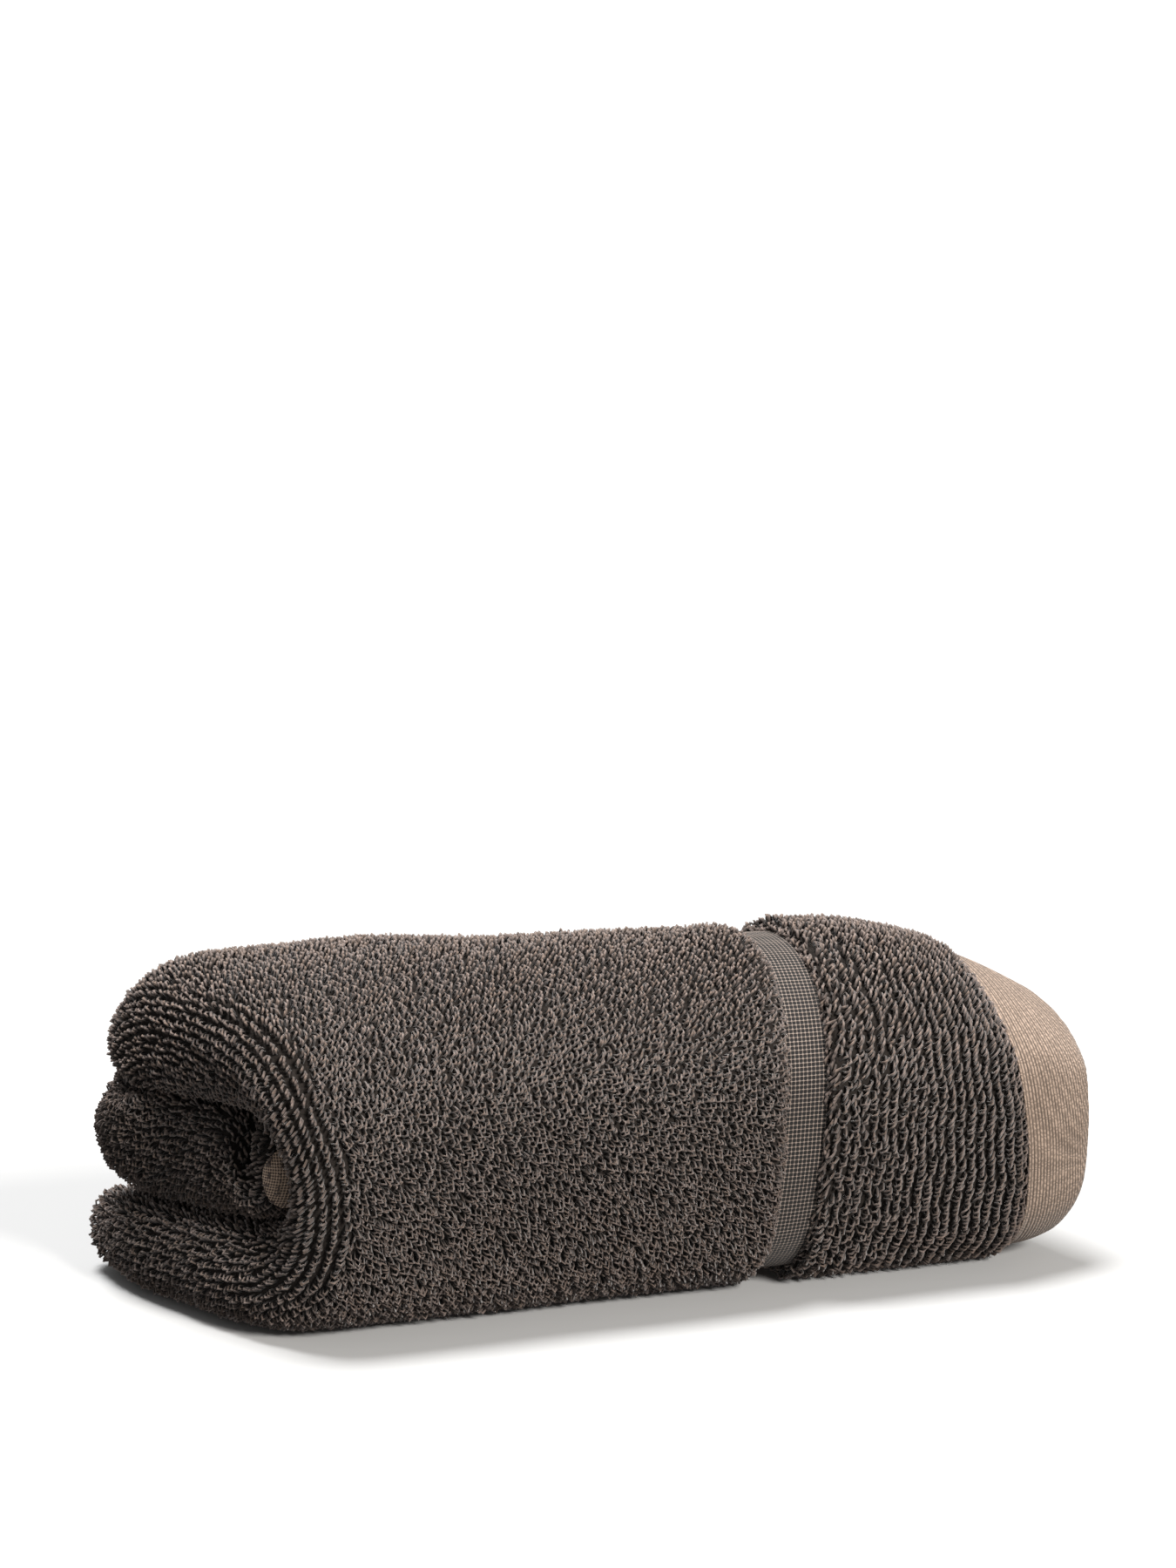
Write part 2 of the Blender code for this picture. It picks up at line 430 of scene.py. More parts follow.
WINDING = (
    Station("tail", -0.0580, 0.0020, -0.0580, 0.0250, -0.0020, 0.2540, 0.2470, 0.0030, 0.012, 1.0),
    Station("under the back", -0.0340, 0.0000, -0.0350, 0.0268, 0.0000, 0.2590, 0.2490, 0.0030, 0.016, 1.0),
    Station("flat spot, back", -0.0120, 0.0000, -0.0140, 0.0285, 0.0060, 0.2640, 0.2510, 0.0030, 0.021, 1.0),
    Station("flat spot, front", 0.0100, 0.0000, 0.0070, 0.0305, 0.0120, 0.2670, 0.2515, 0.0035, 0.024, 1.0),
    Station("front foot", 0.0290, 0.0045, 0.0190, 0.0318, 0.0185, 0.2690, 0.2515, 0.0045, 0.024, 1.0),
    Station("front, low", 0.0410, 0.0155, 0.0265, 0.0350, 0.0235, 0.2710, 0.2505, 0.0060, 0.022, 1.0),
    Station("front, under mid", 0.0475, 0.0320, 0.0312, 0.0410, 0.0255, 0.2720, 0.2490, 0.0080, 0.020, 1.0),
    Station("front", 0.0500, 0.0520, 0.0330, 0.0520, 0.0240, 0.2720, 0.2470, 0.0095, 0.020, 1.0),
    Station("front, over mid", 0.0470, 0.0720, 0.0300, 0.0605, 0.0190, 0.2720, 0.2450, 0.0120, 0.022, 1.0),
    Station("front shoulder", 0.0365, 0.0890, 0.0225, 0.0642, 0.0150, 0.2710, 0.2420, 0.0165, 0.025, 1.0),
    Station("top, front", 0.0200, 0.1002, 0.0120, 0.0652, 0.0090, 0.2690, 0.2395, 0.0195, 0.027, 1.0),
    Station("top", 0.0000, 0.1040, 0.0010, 0.0652, 0.0035, 0.2670, 0.2380, 0.0210, 0.028, 1.0),
    Station("top, back", -0.0200, 0.1015, -0.0090, 0.0644, -0.0010, 0.2640, 0.2380, 0.0195, 0.027, 1.0),
    Station("back shoulder", -0.0390, 0.0915, -0.0170, 0.0634, -0.0030, 0.2620, 0.2400, 0.0160, 0.025, 1.0),
    Station("back, high", -0.0510, 0.0770, -0.0215, 0.0626, -0.0030, 0.2600, 0.2430, 0.0110, 0.022, 1.0),
    Station("back", -0.0560, 0.0640, -0.0230, 0.0616, 0.0010, 0.2580, 0.2450, 0.0080, 0.020, 0.8),
    Station("back, low", -0.0565, 0.0460, -0.0220, 0.0618, -0.0055, 0.2580, 0.2480, 0.0060, 0.018, 0.6),
    Station("turn to core", -0.0510, 0.0335, -0.0185, 0.0628, -0.0050, 0.2600, 0.2500, 0.0050, 0.014, 0.4),
    Station("middle, back", -0.0360, 0.0287, -0.0135, 0.0635, 0.0010, 0.2620, 0.2520, 0.0040, 0.011, 0.3),
    Station("middle", -0.0200, 0.0297, -0.0080, 0.0640, 0.0065, 0.2635, 0.2535, 0.0040, 0.010, 0.3),
    Station("middle, front", -0.0020, 0.0312, 0.0030, 0.0640, 0.0105, 0.2645, 0.2545, 0.0040, 0.010, 0.3),
    Station("core foot", 0.0120, 0.0328, 0.0100, 0.0600, 0.0145, 0.2655, 0.2555, 0.0040, 0.010, 0.3),
    Station("core turn", 0.0225, 0.0352, 0.0112, 0.0520, 0.0165, 0.2665, 0.2565, 0.0040, 0.010, 0.3),
    Station("core, low", 0.0278, 0.0395, 0.0122, 0.0475, 0.0190, 0.2670, 0.2570, 0.0040, 0.010, 0.3),
    Station("core", 0.0306, 0.0480, 0.0136, 0.0495, 0.0205, 0.2670, 0.2570, 0.0040, 0.010, 0.3),
    Station("core, high", 0.0290, 0.0550, 0.0145, 0.0535, 0.0205, 0.2670, 0.2570, 0.0040, 0.010, 0.3),
)


class Column(Enum):
    """The columns of a section's row of numbers, after the four of its profile."""

    LEFT = 4
    RIGHT = 5
    HEM = 6
    DROP = 7
    ROUNDING = 8
    RELIEF = 9


class Zone(Enum):
    """The parts of the pad's outline, in order, from the right end of its inner face."""

    INNER = 0
    FOLD = 1
    PLAIN = 2
    BAND = 3
    BORDER = 4
    HEM = 5
    END = 6
    UNDER_HEM = 7


@dataclass(frozen=True)
class Surface:
    """A grid of places on the pad: sections down, points of the outline across."""

    places: Array
    normals: Array
    zones: Array

    def across_from(self, zone: Zone, leftward: bool) -> Array:
        """The columns of the grid from a zone's near edge on.

        Args:
            zone: the zone that is left behind.
            leftward: whether to go to the left fold and the inner face, or to the right end.

        Returns:
            Column numbers, in order.
        """
        first = int(np.flatnonzero(self.zones == zone.value)[0])
        last = int(np.flatnonzero(self.zones == zone.value)[-1])
        return np.arange(first, -1, -1) if leftward else np.arange(last, len(self.zones))


@dataclass(frozen=True)
class WoundPad:
    """The folded towel, wound up.

    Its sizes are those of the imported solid, but the band leans less and the hem's turn and edge are finer.
    """

    length: float = 0.272
    height: float = 0.104
    right_shrink: float = 0.065
    shrink_from: float = 0.040
    swell: float = 0.015
    swell_at: float = 0.050
    swell_spread: float = 0.060
    band_start: float = 0.1670
    band_width: float = 0.0145
    band_lean: float = 0.0082
    band_depth: float = 0.0032
    band_ramp: float = 0.0022
    cliff_ramp: float = 0.0006
    border_proud: float = 0.0008
    hem_step: float = 0.0026
    fold_inner: float = 0.010
    fold_fullness: float = 0.80
    hem_turn: float = 0.0040  # the radius of the hem's turn over the right end
    hem_turn_share: float = 0.70
    hem_thickness: float = 0.0042
    hem_edge_range: tuple[float, float] = (0.40, 0.86)
    hem_lip: float = 0.0026
    end_folds: tuple[tuple[float, float], ...] = (
        (0.0030, 0.98), (0.0009, 0.90), (0.0, 0.74), (0.0, 0.36), (0.0014, 0.14), (0.0050, 0.0),
    )
    tip_turn: float = math.radians(84)
    tip_rings: int = 8
    tip_pull: float = 0.006
    sink_reach: float = 0.004
    sink_spread: float = 2.7
    sink_power: float = 1.8
    waves: tuple[tuple[float, float, float], ...] = ((0.0170, 2.1, 0.0), (0.0100, -3.3, 1.0))
    wave_depth: float = 0.00035
    wave_fade: float = 0.015
    least_step: float = 0.006
    points: dict[Zone, int] = field(
        default_factory=lambda: {
            Zone.INNER: 30, Zone.FOLD: 26, Zone.PLAIN: 30, Zone.BAND: 8, Zone.BORDER: 16, Zone.HEM: 8,
        }
    )

    def sections(
        self, count: int, first: float = 0.0, last: float = 1.0, tail: bool = True, core: bool = True
    ) -> Array:
        """Sections read evenly from a smooth curve through the stations.

        Args:
            count: how many.
            first: where to start, as a share of the way along the winding.
            last: where to end.
            tail: whether the sections that close the tail are added.
            core: whether those that close the core are.

        Returns:
            One row of numbers each.
        """
        rows = np.array([station[1:] for station in WINDING])
        along = np.concatenate([[0], np.cumsum(self.steps())])
        slopes = np.gradient(rows, along, axis=0)
        at = np.linspace(first * along[-1], last * along[-1], count)
        index = np.clip(np.searchsorted(along, at, side="right") - 1, 0, len(along) - 2)
        span = (along[index + 1] - along[index])[:, None]
        t = (at - along[index])[:, None] / span
        start = rows[index] * (2 * t**3 - 3 * t**2 + 1) + slopes[index] * span * (t**3 - 2 * t**2 + t)
        end = rows[index + 1] * (3 * t**2 - 2 * t**3) + slopes[index + 1] * span * (t**3 - t**2)
        body = start + end
        parts = [self.tip(body[0], body[1])] if tail else []
        parts.append(body)
        if core:
            parts.append(self.tip(body[-1], body[-2])[::-1])
        return np.concatenate(parts)

    def steps(self) -> Array:
        """How far it is from each station to the next, along the middle of the thickness.

        Returns:
            The distances, none of them under the least step.
        """
        rows = np.array([station[1:5] for station in WINDING])
        middle = (rows[:, 0:2] + rows[:, 2:4]) / 2
        return np.maximum(np.linalg.norm(np.diff(middle, axis=0), axis=1), self.least_step)

    def share_of(self, place: str) -> float:
        """How far along the winding a station lies.

        Args:
            place: the station's name.

        Returns:
            The share of the whole winding.
        """
        steps = self.steps()
        number = [station.place for station in WINDING].index(place)
        return float(steps[:number].sum() / steps.sum())

    def tip(self, first: Array, second: Array) -> Array:
        """Sections that round off the pad beyond one of its ends.

        Args:
            first: the end's own section.
            second: the section next to it.

        Returns:
            Their rows, outermost first.
        """
        outer, inner = first[0:2], first[2:4]
        middle, half = (outer + inner) / 2, (outer - inner) / 2
        inward = (second[0:2] + second[2:4]) / 2 - middle
        reach = np.linalg.norm(half) * inward / -np.linalg.norm(inward)
        rows = []
        for step in range(self.tip_rings, 0, -1):
            turn = self.tip_turn * step / self.tip_rings
            centre = middle + reach * math.sin(turn)
            row = first.copy()
            row[0:2] = centre + half * math.cos(turn)
            row[2:4] = centre - half * math.cos(turn)
            row[Column.LEFT.value] += self.tip_pull * (1 - math.cos(turn))
            row[Column.RIGHT.value] -= self.tip_pull * (1 - math.cos(turn))
            row[Column.DROP.value] *= math.cos(turn)
            row[Column.RELIEF.value] *= math.cos(turn)
            rows.append(row)
        return np.array(rows)

    def band_at(self, sections: Array) -> Array:
        """Where the band starts at each section, along the roll."""
        return self.band_start + self.band_lean * (sections[:, 1] / self.height) ** 2

    def wound(self, sections: Array, along: Array, share: Array, raised: Array) -> Array:
        """Places on the wound pad, before it is centred.

        Args:
            sections: the sections' rows.
            along: distances along the roll, one row of them a section.
            share: shares of the thickness, 0 at the inner face.
            raised: heights over the plain pile.

        Returns:
            The places.
        """
        outer, inner = sections[:, None, 0:2], sections[:, None, 2:4]
        right = sections[:, Column.RIGHT.value, None]
        drop = sections[:, Column.DROP.value, None]
        relief = sections[:, Column.RELIEF.value, None]
        thickness = np.linalg.norm(outer - inner, axis=-1)
        sink_from = right - self.sink_reach - self.sink_spread * drop
        sink = np.clip((along - sink_from) / (right - sink_from), 0, 1)
        turn = np.arctan2(outer[..., 1] - self.height / 2, outer[..., 0])
        wave = sum(np.sin(along / size + twist * turn + start) for size, twist, start in self.waves)
        wave = self.wave_depth * wave * np.clip(outer[..., 1] / self.wave_fade, 0, 1)
        lift = raised * relief + wave - drop * sink**self.sink_power
        flat = inner + (share * (1 + lift / thickness))[..., None] * (outer - inner)
        tight = np.clip((along - self.shrink_from) / (self.length - self.shrink_from), 0, 1)
        loose = self.swell * np.exp(-(((along - self.swell_at) / self.swell_spread) ** 2))
        flat = flat * (1 - self.right_shrink * tight + loose)[..., None]
        return np.stack([along + 0 * flat[..., 0], -flat[..., 0], np.maximum(flat[..., 1], 0.0)], axis=-1)

    def outline(self, sections: Array) -> tuple[Array, Array, Array, Array]:
        """The pad's outline at each section.

        Args:
            sections: the sections' rows.

        Returns:
            Distance along the roll, share of the thickness and height over the pile, a row for each section,
            and the zone of each column.
        """
        left = sections[:, Column.LEFT.value]
        right = sections[:, Column.RIGHT.value]
        hem = sections[:, Column.HEM.value]
        rounding = sections[:, Column.ROUNDING.value]
        band = self.band_at(sections)
        band_end = band + self.band_width
        parts: list[tuple[Zone, Array, Array, Array]] = []

        def run(zone: Zone, count: int, start: Array, end: Array, share: float, raised: float) -> None:
            """Adds an even run of points, its last one left out.

            Args:
                zone: the zone that it is in.
                count: how many points.
                start: where it starts along the roll, at each section.
                end: where it ends.
                share: its share of the thickness.
                raised: its height over the plain pile.
            """
            way = np.arange(count) / count
            along = start[:, None] + (end - start)[:, None] * way
            parts.append((zone, along, np.full_like(along, share), np.full_like(along, raised)))

        def turned(zone: Zone, count: int, reach: Array, first: float, last: float) -> None:
            """Adds a quarter of the left fold.

            Args:
                zone: the zone that it is in.
                count: how many points.
                reach: how far it rounds off along the roll, at each section.
                first: the angle where it starts.
                last: the angle where it ends.
            """
            turn = np.linspace(first, last, count, endpoint=False)
            cosine = np.abs(np.cos(turn)) ** self.fold_fullness
            sine = np.sign(np.sin(turn)) * np.abs(np.sin(turn)) ** self.fold_fullness
            along = left[:, None] + reach[:, None] * (1 - cosine)
            share = np.broadcast_to(0.5 + 0.5 * sine, along.shape)
            parts.append((zone, along, share, np.zeros_like(along)))

        inner_start = right - self.hem_lip - self.end_folds[-1][0]
        run(Zone.INNER, self.points[Zone.INNER], inner_start, left + self.fold_inner, 0.0, 0.0)
        half = self.points[Zone.FOLD] // 2
        turned(Zone.FOLD, half, np.full_like(left, self.fold_inner), -math.pi / 2, 0.0)
        turned(Zone.FOLD, half, rounding, 0.0, math.pi / 2)
        run(Zone.PLAIN, self.points[Zone.PLAIN], left + rounding, band, 1.0, 0.0)
        floor_start, floor_end = band + self.band_ramp, band_end - self.cliff_ramp
        run(Zone.BAND, 1, band, band, 1.0, 0.0)
        run(Zone.BAND, self.points[Zone.BAND] - 1, floor_start, floor_end, 1.0, -self.band_depth)
        run(Zone.BORDER, 1, floor_end, floor_end, 1.0, -self.band_depth)
        run(Zone.BORDER, self.points[Zone.BORDER] - 1, band_end, hem, 1.0, self.border_proud)
        run(Zone.HEM, self.points[Zone.HEM], hem, right - self.hem_turn, 1.0, -self.hem_step)
        back, share = self.end_turn(sections)
        parts.append((Zone.END, right[:, None] - back, share, np.full_like(share, -self.hem_step)))
        back, share = (np.array(part) for part in zip(*self.end_folds))
        along = right[:, None] - self.hem_lip - back
        parts.append((Zone.UNDER_HEM, along, self.hem_edge(sections)[:, None] * share, np.zeros_like(along)))
        zones = np.concatenate([np.full(along.shape[1], zone.value) for zone, along, _, _ in parts])
        along, share, raised = (np.concatenate([part[n] for part in parts], axis=1) for n in (1, 2, 3))
        return along, share, raised, zones

    def hem_edge(self, sections: Array) -> Array:
        """Where the hem ends on the right end.

        Args:
            sections: the sections' rows.

        Returns:
            The share of the thickness, at each section.
        """
        thickness = np.linalg.norm(sections[:, 0:2] - sections[:, 2:4], axis=1)
        sunk = sections[:, Column.DROP.value] + self.hem_step * sections[:, Column.RELIEF.value]
        return np.clip(1 - self.hem_thickness / np.maximum(thickness - sunk, 1e-4), *self.hem_edge_range)

    def end_turn(self, sections: Array, count: int = 6) -> tuple[Array, Array]:
        """The hem's turn over the right end, down to its edge.

        Args:
            sections: the sections' rows.
            count: how many points the rounding has.

        Returns:
            How far each point is set back from the end, and its share of the thickness, a row for each
            section.
        """
        turn = np.linspace(0, math.pi / 2, count + 1, endpoint=False)[1:]
        back = np.append(self.hem_turn * (1 - np.sin(turn)), 0.0)
        down = np.append(self.hem_turn_share * (1 - np.cos(turn)), 1.0)
        share = 1 - (1 - self.hem_edge(sections))[:, None] * down
        return np.broadcast_to(back, share.shape), share

    def middle(self) -> Array:
        """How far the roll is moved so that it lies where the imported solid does.

        Returns:
            The shift, level with the ground.
        """
        sections = self.sections(120)
        places = self.wound(sections, *self.outline(sections)[:3]).reshape(-1, 3)
        low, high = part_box(NODE)
        shift = (places.min(axis=0) + places.max(axis=0)) / 2 - np.array((low + high) / 2)
        shift[2] = 0.0
        return shift

    def surface(self, count: int) -> Surface:
        """The whole face of the pad.

        Args:
            count: how many sections its winding has.

        Returns:
            The face, with its normals outward.
        """
        sections = self.sections(count)
        along, share, raised, zones = self.outline(sections)
        places = self.wound(sections, along, share, raised) - self.middle()
        return Surface(places, normals_of(places, True), zones)

    def strip(self, sections: Array, along: Array, raised: Array, share: Array | None = None) -> Array:
        """Places on the outer face, in the solid's frame.

        Args:
            sections: the sections' rows.
            along: distances along the roll.
            raised: heights over the plain pile.
            share: shares of the thickness, or None for the outer face.

        Returns:
            The places.
        """
        full = np.ones_like(along) if share is None else share
        return self.wound(sections, along, full, raised) - self.middle()


def normals_of(places: Array, ring: bool) -> Array:
    """The outward normals of a grid of places.

    Args:
        places: sections down, points across.
        ring: whether the points across close to a ring.

    Returns:
        A unit normal for each place.
    """
    down = np.gradient(places, axis=0)
    if ring:
        across = np.roll(places, -1, axis=1) - np.roll(places, 1, axis=1)
    else:
        across = np.gradient(places, axis=1)
    return unit(np.cross(across, down))


def unit(vectors: Array) -> Array:
    """Vectors scaled to a length of 1."""
    return vectors / np.maximum(np.linalg.norm(vectors, axis=-1, keepdims=True), 1e-12)


def run_along(line: Array) -> Array:
    """How far each place of a line lies from its start, along the line."""
    return np.concatenate([[0], np.cumsum(np.linalg.norm(np.diff(line, axis=0), axis=1))])


def reach_across(places: Array) -> Array:
    """How far each place of a grid lies from the start of its row, along the row."""
    steps = np.linalg.norm(np.diff(places, axis=1), axis=-1)
    return np.concatenate([np.zeros((len(places), 1)), np.cumsum(steps, axis=1)], axis=1)


def rounds(turns: Array) -> Array:
    """A smooth swell from 0 to 1 and back for each whole number of turns."""
    return 0.5 - 0.5 * np.cos(math.tau * turns)


# Meshes


def placed(name: str, data: bpy.types.ID) -> bpy.types.Object:
    """Makes an object and puts it in the scene.

    Args:
        name: its name.
        data: its mesh, light or camera.

    Returns:
        The object.
    """
    thing = bpy.data.objects.new(name, data)
    bpy.context.scene.collection.objects.link(thing)
    return thing


def piece_of(mesh: bpy.types.Mesh, finish: bpy.types.Material) -> bpy.types.Object:
    """Gives a mesh smooth faces and its finish, and lets it ride with the towel.

    Args:
        mesh: the mesh, which has the piece's name.
        finish: its material.

    Returns:
        The piece.
    """
    mesh.polygons.foreach_set("use_smooth", np.ones(len(mesh.polygons), bool))
    mesh.materials.append(finish)
    mesh.update()
    mesh.validate()
    piece = placed(mesh.name, mesh)
    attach(piece, BODY)
    return piece


def mesh_object(
    name: str, places: Array, faces: Array, maps: dict[str, Array], finish: bpy.types.Material
) -> bpy.types.Object:
    """Makes a smooth mesh object that rides with the towel.

    Args:
        name: the piece's name.
        places: its points.
        faces: its faces, four point numbers each.
        maps: UV maps by name, a pair for each corner of each face.
        finish: its material.

    Returns:
        The object.
    """
    mesh = bpy.data.meshes.new(name)
    mesh.vertices.add(len(places))
    mesh.vertices.foreach_set("co", places.astype(np.float32).ravel())
    mesh.loops.add(faces.size)
    mesh.loops.foreach_set("vertex_index", faces.astype(np.int32).ravel())
    mesh.polygons.add(len(faces))
    mesh.polygons.foreach_set("loop_start", np.arange(0, faces.size, faces.shape[1], dtype=np.int32))
    for title, corners in maps.items():
        layer = mesh.uv_layers.new(name=title)
        layer.uv.foreach_set("vector", corners.astype(np.float32).ravel())
    return piece_of(mesh, finish)


def grid_faces(down: int, across: int, ring: bool) -> Array:
    """The faces of a grid of points.

    Args:
        down: rows of points.
        across: points in a row.
        ring: whether each row closes on itself.

    Returns:
        Four point numbers for each face.
    """
    i, j = np.meshgrid(np.arange(down - 1), np.arange(across if ring else across - 1), indexing="ij")
    k = (j + 1) % across
    corners = [i * across + j, i * across + k, (i + 1) * across + k, (i + 1) * across + j]
    return np.stack(corners, axis=-1).reshape(-1, 4)


# Pieces


@dataclass(frozen=True)
class GroundWeave:
    """The ground weave of the whole pad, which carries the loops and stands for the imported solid."""

    pad: WoundPad
    sections: int = 150
    under_pile: float = 0.0020
    under_flat: float = 0.0010
    fill: float = 0.5

    def build(self, surface: Surface, finish: GroundFinish) -> bpy.types.Object:
        """Makes the ground weave.

        Args:
            surface: the pad's face.
            finish: the ground's finish.

        Returns:
            The piece.
        """
        flat = np.isin(surface.zones, [Zone.BAND.value, Zone.HEM.value, Zone.END.value])
        depth = np.where(flat, self.under_flat, self.under_pile)[None, :, None]
        places = surface.places - surface.normals * depth
        places[..., 2] = np.maximum(places[..., 2], 0.0)
        down, across = places.shape[:2]
        points = np.concatenate([places.reshape(-1, 3), places[[0, -1]].mean(axis=1)])
        j = np.arange(across)
        k = (j + 1) % across
        core = (down - 1) * across
        tail_fan = np.stack([np.full(across, len(points) - 2), k, j], axis=-1)
        core_fan = np.stack([np.full(across, len(points) - 1), core + j, core + k], axis=-1)
        faces = grid_faces(down, across, True).tolist() + tail_fan.tolist() + core_fan.tolist()
        mesh = bpy.data.meshes.new("towel_ground")
        mesh.from_pydata(points.tolist(), [], faces)
        piece = piece_of(mesh, finish.material())
        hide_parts(NODE)
        return piece


@dataclass(frozen=True)
class LoopStyle:
    """How a kind of loop is made and stands. Lengths are in metres, angles in degrees."""

    pitch: float  # from loop to loop in a row
    half: float  # half the loop's width
    height: float
    yarn: float  # the yarn's radius
    slant: float  # how the loop's own line turns out of the row, seen from outside
    slant_spread: float
    lean: float  # how far its top leans across its own line
    lean_spread: float
    droop: float  # how far its top leans back along the row
    droop_spread: float
    stray: float  # how far its foot strays
    height_spread: float = 0.14

    def toward(self, other: "LoopStyle", share: Array) -> "LoopStyle":
        """A style between this one and another.

        Args:
            other: the other style.
            share: how far towards it, for each loop.

        Returns:
            The style, with an array in each field.
        """
        pairs = {part.name: (getattr(self, part.name), getattr(other, part.name)) for part in fields(self)}
        return LoopStyle(**{name: near + (far - near) * share for name, (near, far) in pairs.items()})


@dataclass
class Roots:
    """Where loops stand: places, and the directions along the row, across it and out of the cloth."""

    places: Array
    along: Array
    across: Array
    out: Array
    station: Array

    def kept(self, which: Array) -> "Roots":
        """Only some of the roots."""
        return Roots(*(getattr(self, part.name)[which] for part in fields(self)))

    def __len__(self) -> int:
        """How many there are."""
        return len(self.places)


def joined(parts: Sequence[Roots]) -> Roots:
    """Several sets of roots as one."""
    return Roots(*(np.concatenate([getattr(part, kind.name) for part in parts]) for kind in fields(Roots)))


@dataclass
class Pile:
    """Makes rows of loops on a surface."""

    surface: Surface
    ground: bpy.types.Object
    depth: float  # how far the loops' feet lie under the surface
    rng: np.random.Generator
    turns: tuple[float, ...] = (-132.0, -63.0, 0.0, 63.0, 132.0)
    thickness: tuple[float, ...] = (0.75, 1.05, 1.15, 1.05, 0.75)
    coarse_turns: tuple[float, ...] = (-125.0, -44.0, 44.0, 125.0)
    coarse_thickness: tuple[float, ...] = (0.80, 1.15, 1.15, 0.80)
    sides: int = 3
    least_height: float = 0.0003
    width_spread: float = 0.12
    height_range: tuple[float, float] = (0.5, 1.5)
    skew_spread: float = 0.22
    lean_power: float = 1.5
    sight: float = 0.070
    sight_from: float = 1.5  # how far over its foot a loop is looked at, in depths of the ground
    sight_tilts: tuple[float, ...] = (math.radians(58), math.radians(68))
    sight_ways: int = 8

    def coarse(self) -> "Pile":
        """The same with fewer points to a loop, for rows that lie deep."""
        return replace(self, turns=self.coarse_turns, thickness=self.coarse_thickness)

    def tones(self, middle: float, width: float, count: int) -> Array:
        """Each loop's own shade, from 0 to 1, drawn at random."""
        return np.clip(self.rng.normal(middle, width, count), 0.0, TONE_TOP)

    def row(self, columns: Array, distance: Array, style: LoopStyle, stray_across: Array) -> Roots:
        """Roots along one row.

        Args:
            columns: the surface's columns, from where the distance counts.
            distance: how far from there the row runs, at each section.
            style: the loops' style.
            stray_across: how far a foot strays out of the row, at each section.

        Returns:
            The roots.
        """
        places = self.surface.places[:, columns]
        normals = self.surface.normals[:, columns]
        index = [np.interp(d, r, np.arange(len(r))) for d, r in zip(distance, reach_across(places))]
        line, out = at_columns(places, np.array(index)), unit(at_columns(normals, np.array(index)))
        run = run_along(line)
        count = max(int(run[-1] / style.pitch), 1)
        start = self.rng.uniform(0, style.pitch)
        at = start + style.pitch * np.arange(count) + self.rng.normal(0, style.stray, count)
        station = np.interp(at, run, np.arange(len(run)))
        place = at_rows(line, station)
        ahead = unit(at_rows(np.gradient(line, axis=0), station))
        up = unit(at_rows(out, station))
        beside = unit(np.cross(ahead, up))
        stray = np.interp(station, np.arange(len(line)), stray_across) * self.rng.normal(0, 1, count)
        place = place + beside * stray[:, None] - up * self.depth
        return Roots(place, ahead, beside, up, station)

    def seen(self, roots: Roots) -> Array:
        """Which roots can be seen from somewhere outside the roll.

        Args:
            roots: the roots.

        Returns:
            Whether each can be seen.
        """
        tree = BVHTree.FromObject(self.ground, bpy.context.evaluated_depsgraph_get())
        turns = [math.tau * n / self.sight_ways for n in range(self.sight_ways)]
        shown = np.zeros(len(roots), bool)
        start = roots.places + roots.out * (self.depth * self.sight_from)
        for tilt, turn in [(0.0, 0.0)] + [(tilt, turn) for tilt in self.sight_tilts for turn in turns]:
            aim = roots.out * math.cos(tilt)
            aim = aim + (roots.along * math.cos(turn) + roots.across * math.sin(turn)) * math.sin(tilt)
            for n in np.flatnonzero(~shown):
                hit = tree.ray_cast(Vector(start[n]), Vector(aim[n]), self.sight)
                shown[n] = hit[0] is None
        return shown

    def strands(self, roots: Roots, style: LoopStyle) -> tuple[Array, Array, Array]:
        """The paths of the loops.

        Args:
            roots: where they stand.
            style: their style.

        Returns:
            Places along each yarn, the direction across each loop, and each place's height as a share.
        """
        count = len(roots)
        turn = np.radians(self.turns)
        rise = (np.cos(turn) - math.cos(turn[0])) / (1 - math.cos(turn[0]))
        slant = np.radians(self.spread(style.slant, style.slant_spread, count))
        line = roots.across * np.cos(slant) + roots.along * np.sin(slant)
        beside = unit(np.cross(roots.out, line))
        half = np.reshape(style.half, (-1, 1)) * self.spread(1.0, self.width_spread, count)
        tall = np.clip(self.spread(1.0, style.height_spread, count), *self.height_range)
        height = np.reshape(style.height, (-1, 1)) * tall
        lean = self.spread(style.lean, style.lean_spread, count)
        droop = self.spread(style.droop, style.droop_spread, count)
        skew = self.spread(0.0, self.skew_spread, count)
        side = half * (np.sin(turn) + skew * np.sin(2 * turn))
        path = roots.places[:, None] + line[:, None] * side[..., None]
        path = path + roots.out[:, None] * (height * rise)[..., None]
        path = path + beside[:, None] * (lean * rise**self.lean_power)[..., None]
        path = path - roots.along[:, None] * (droop * rise**self.lean_power)[..., None]
        return path, beside, np.broadcast_to(rise, (count, len(turn)))

    def spread(self, middle: Array | float, width: Array | float, count: int) -> Array:
        """Numbers spread about a middle, as a column."""
        return (middle + width * self.rng.normal(0, 1, count))[:, None]

    def build(
        self, name: str, roots: Roots, style: LoopStyle, finish: bpy.types.Material, tone: Array
    ) -> bpy.types.Object:
        """Makes one joined mesh of loops.

        Args:
            name: the piece's name.
            roots: where the loops stand.
            style: their style.
            finish: the yarn's material.
            tone: each loop's own shade, 0 to 1.

        Returns:
            The piece.
        """
        path, beside, rise = self.strands(roots, style)
        points = self.tubes(path, beside, style.yarn)
        faces, maps = self.wrapped(rise, tone)
        return mesh_object(name, points, faces, {BAKE_MAP: maps}, finish)

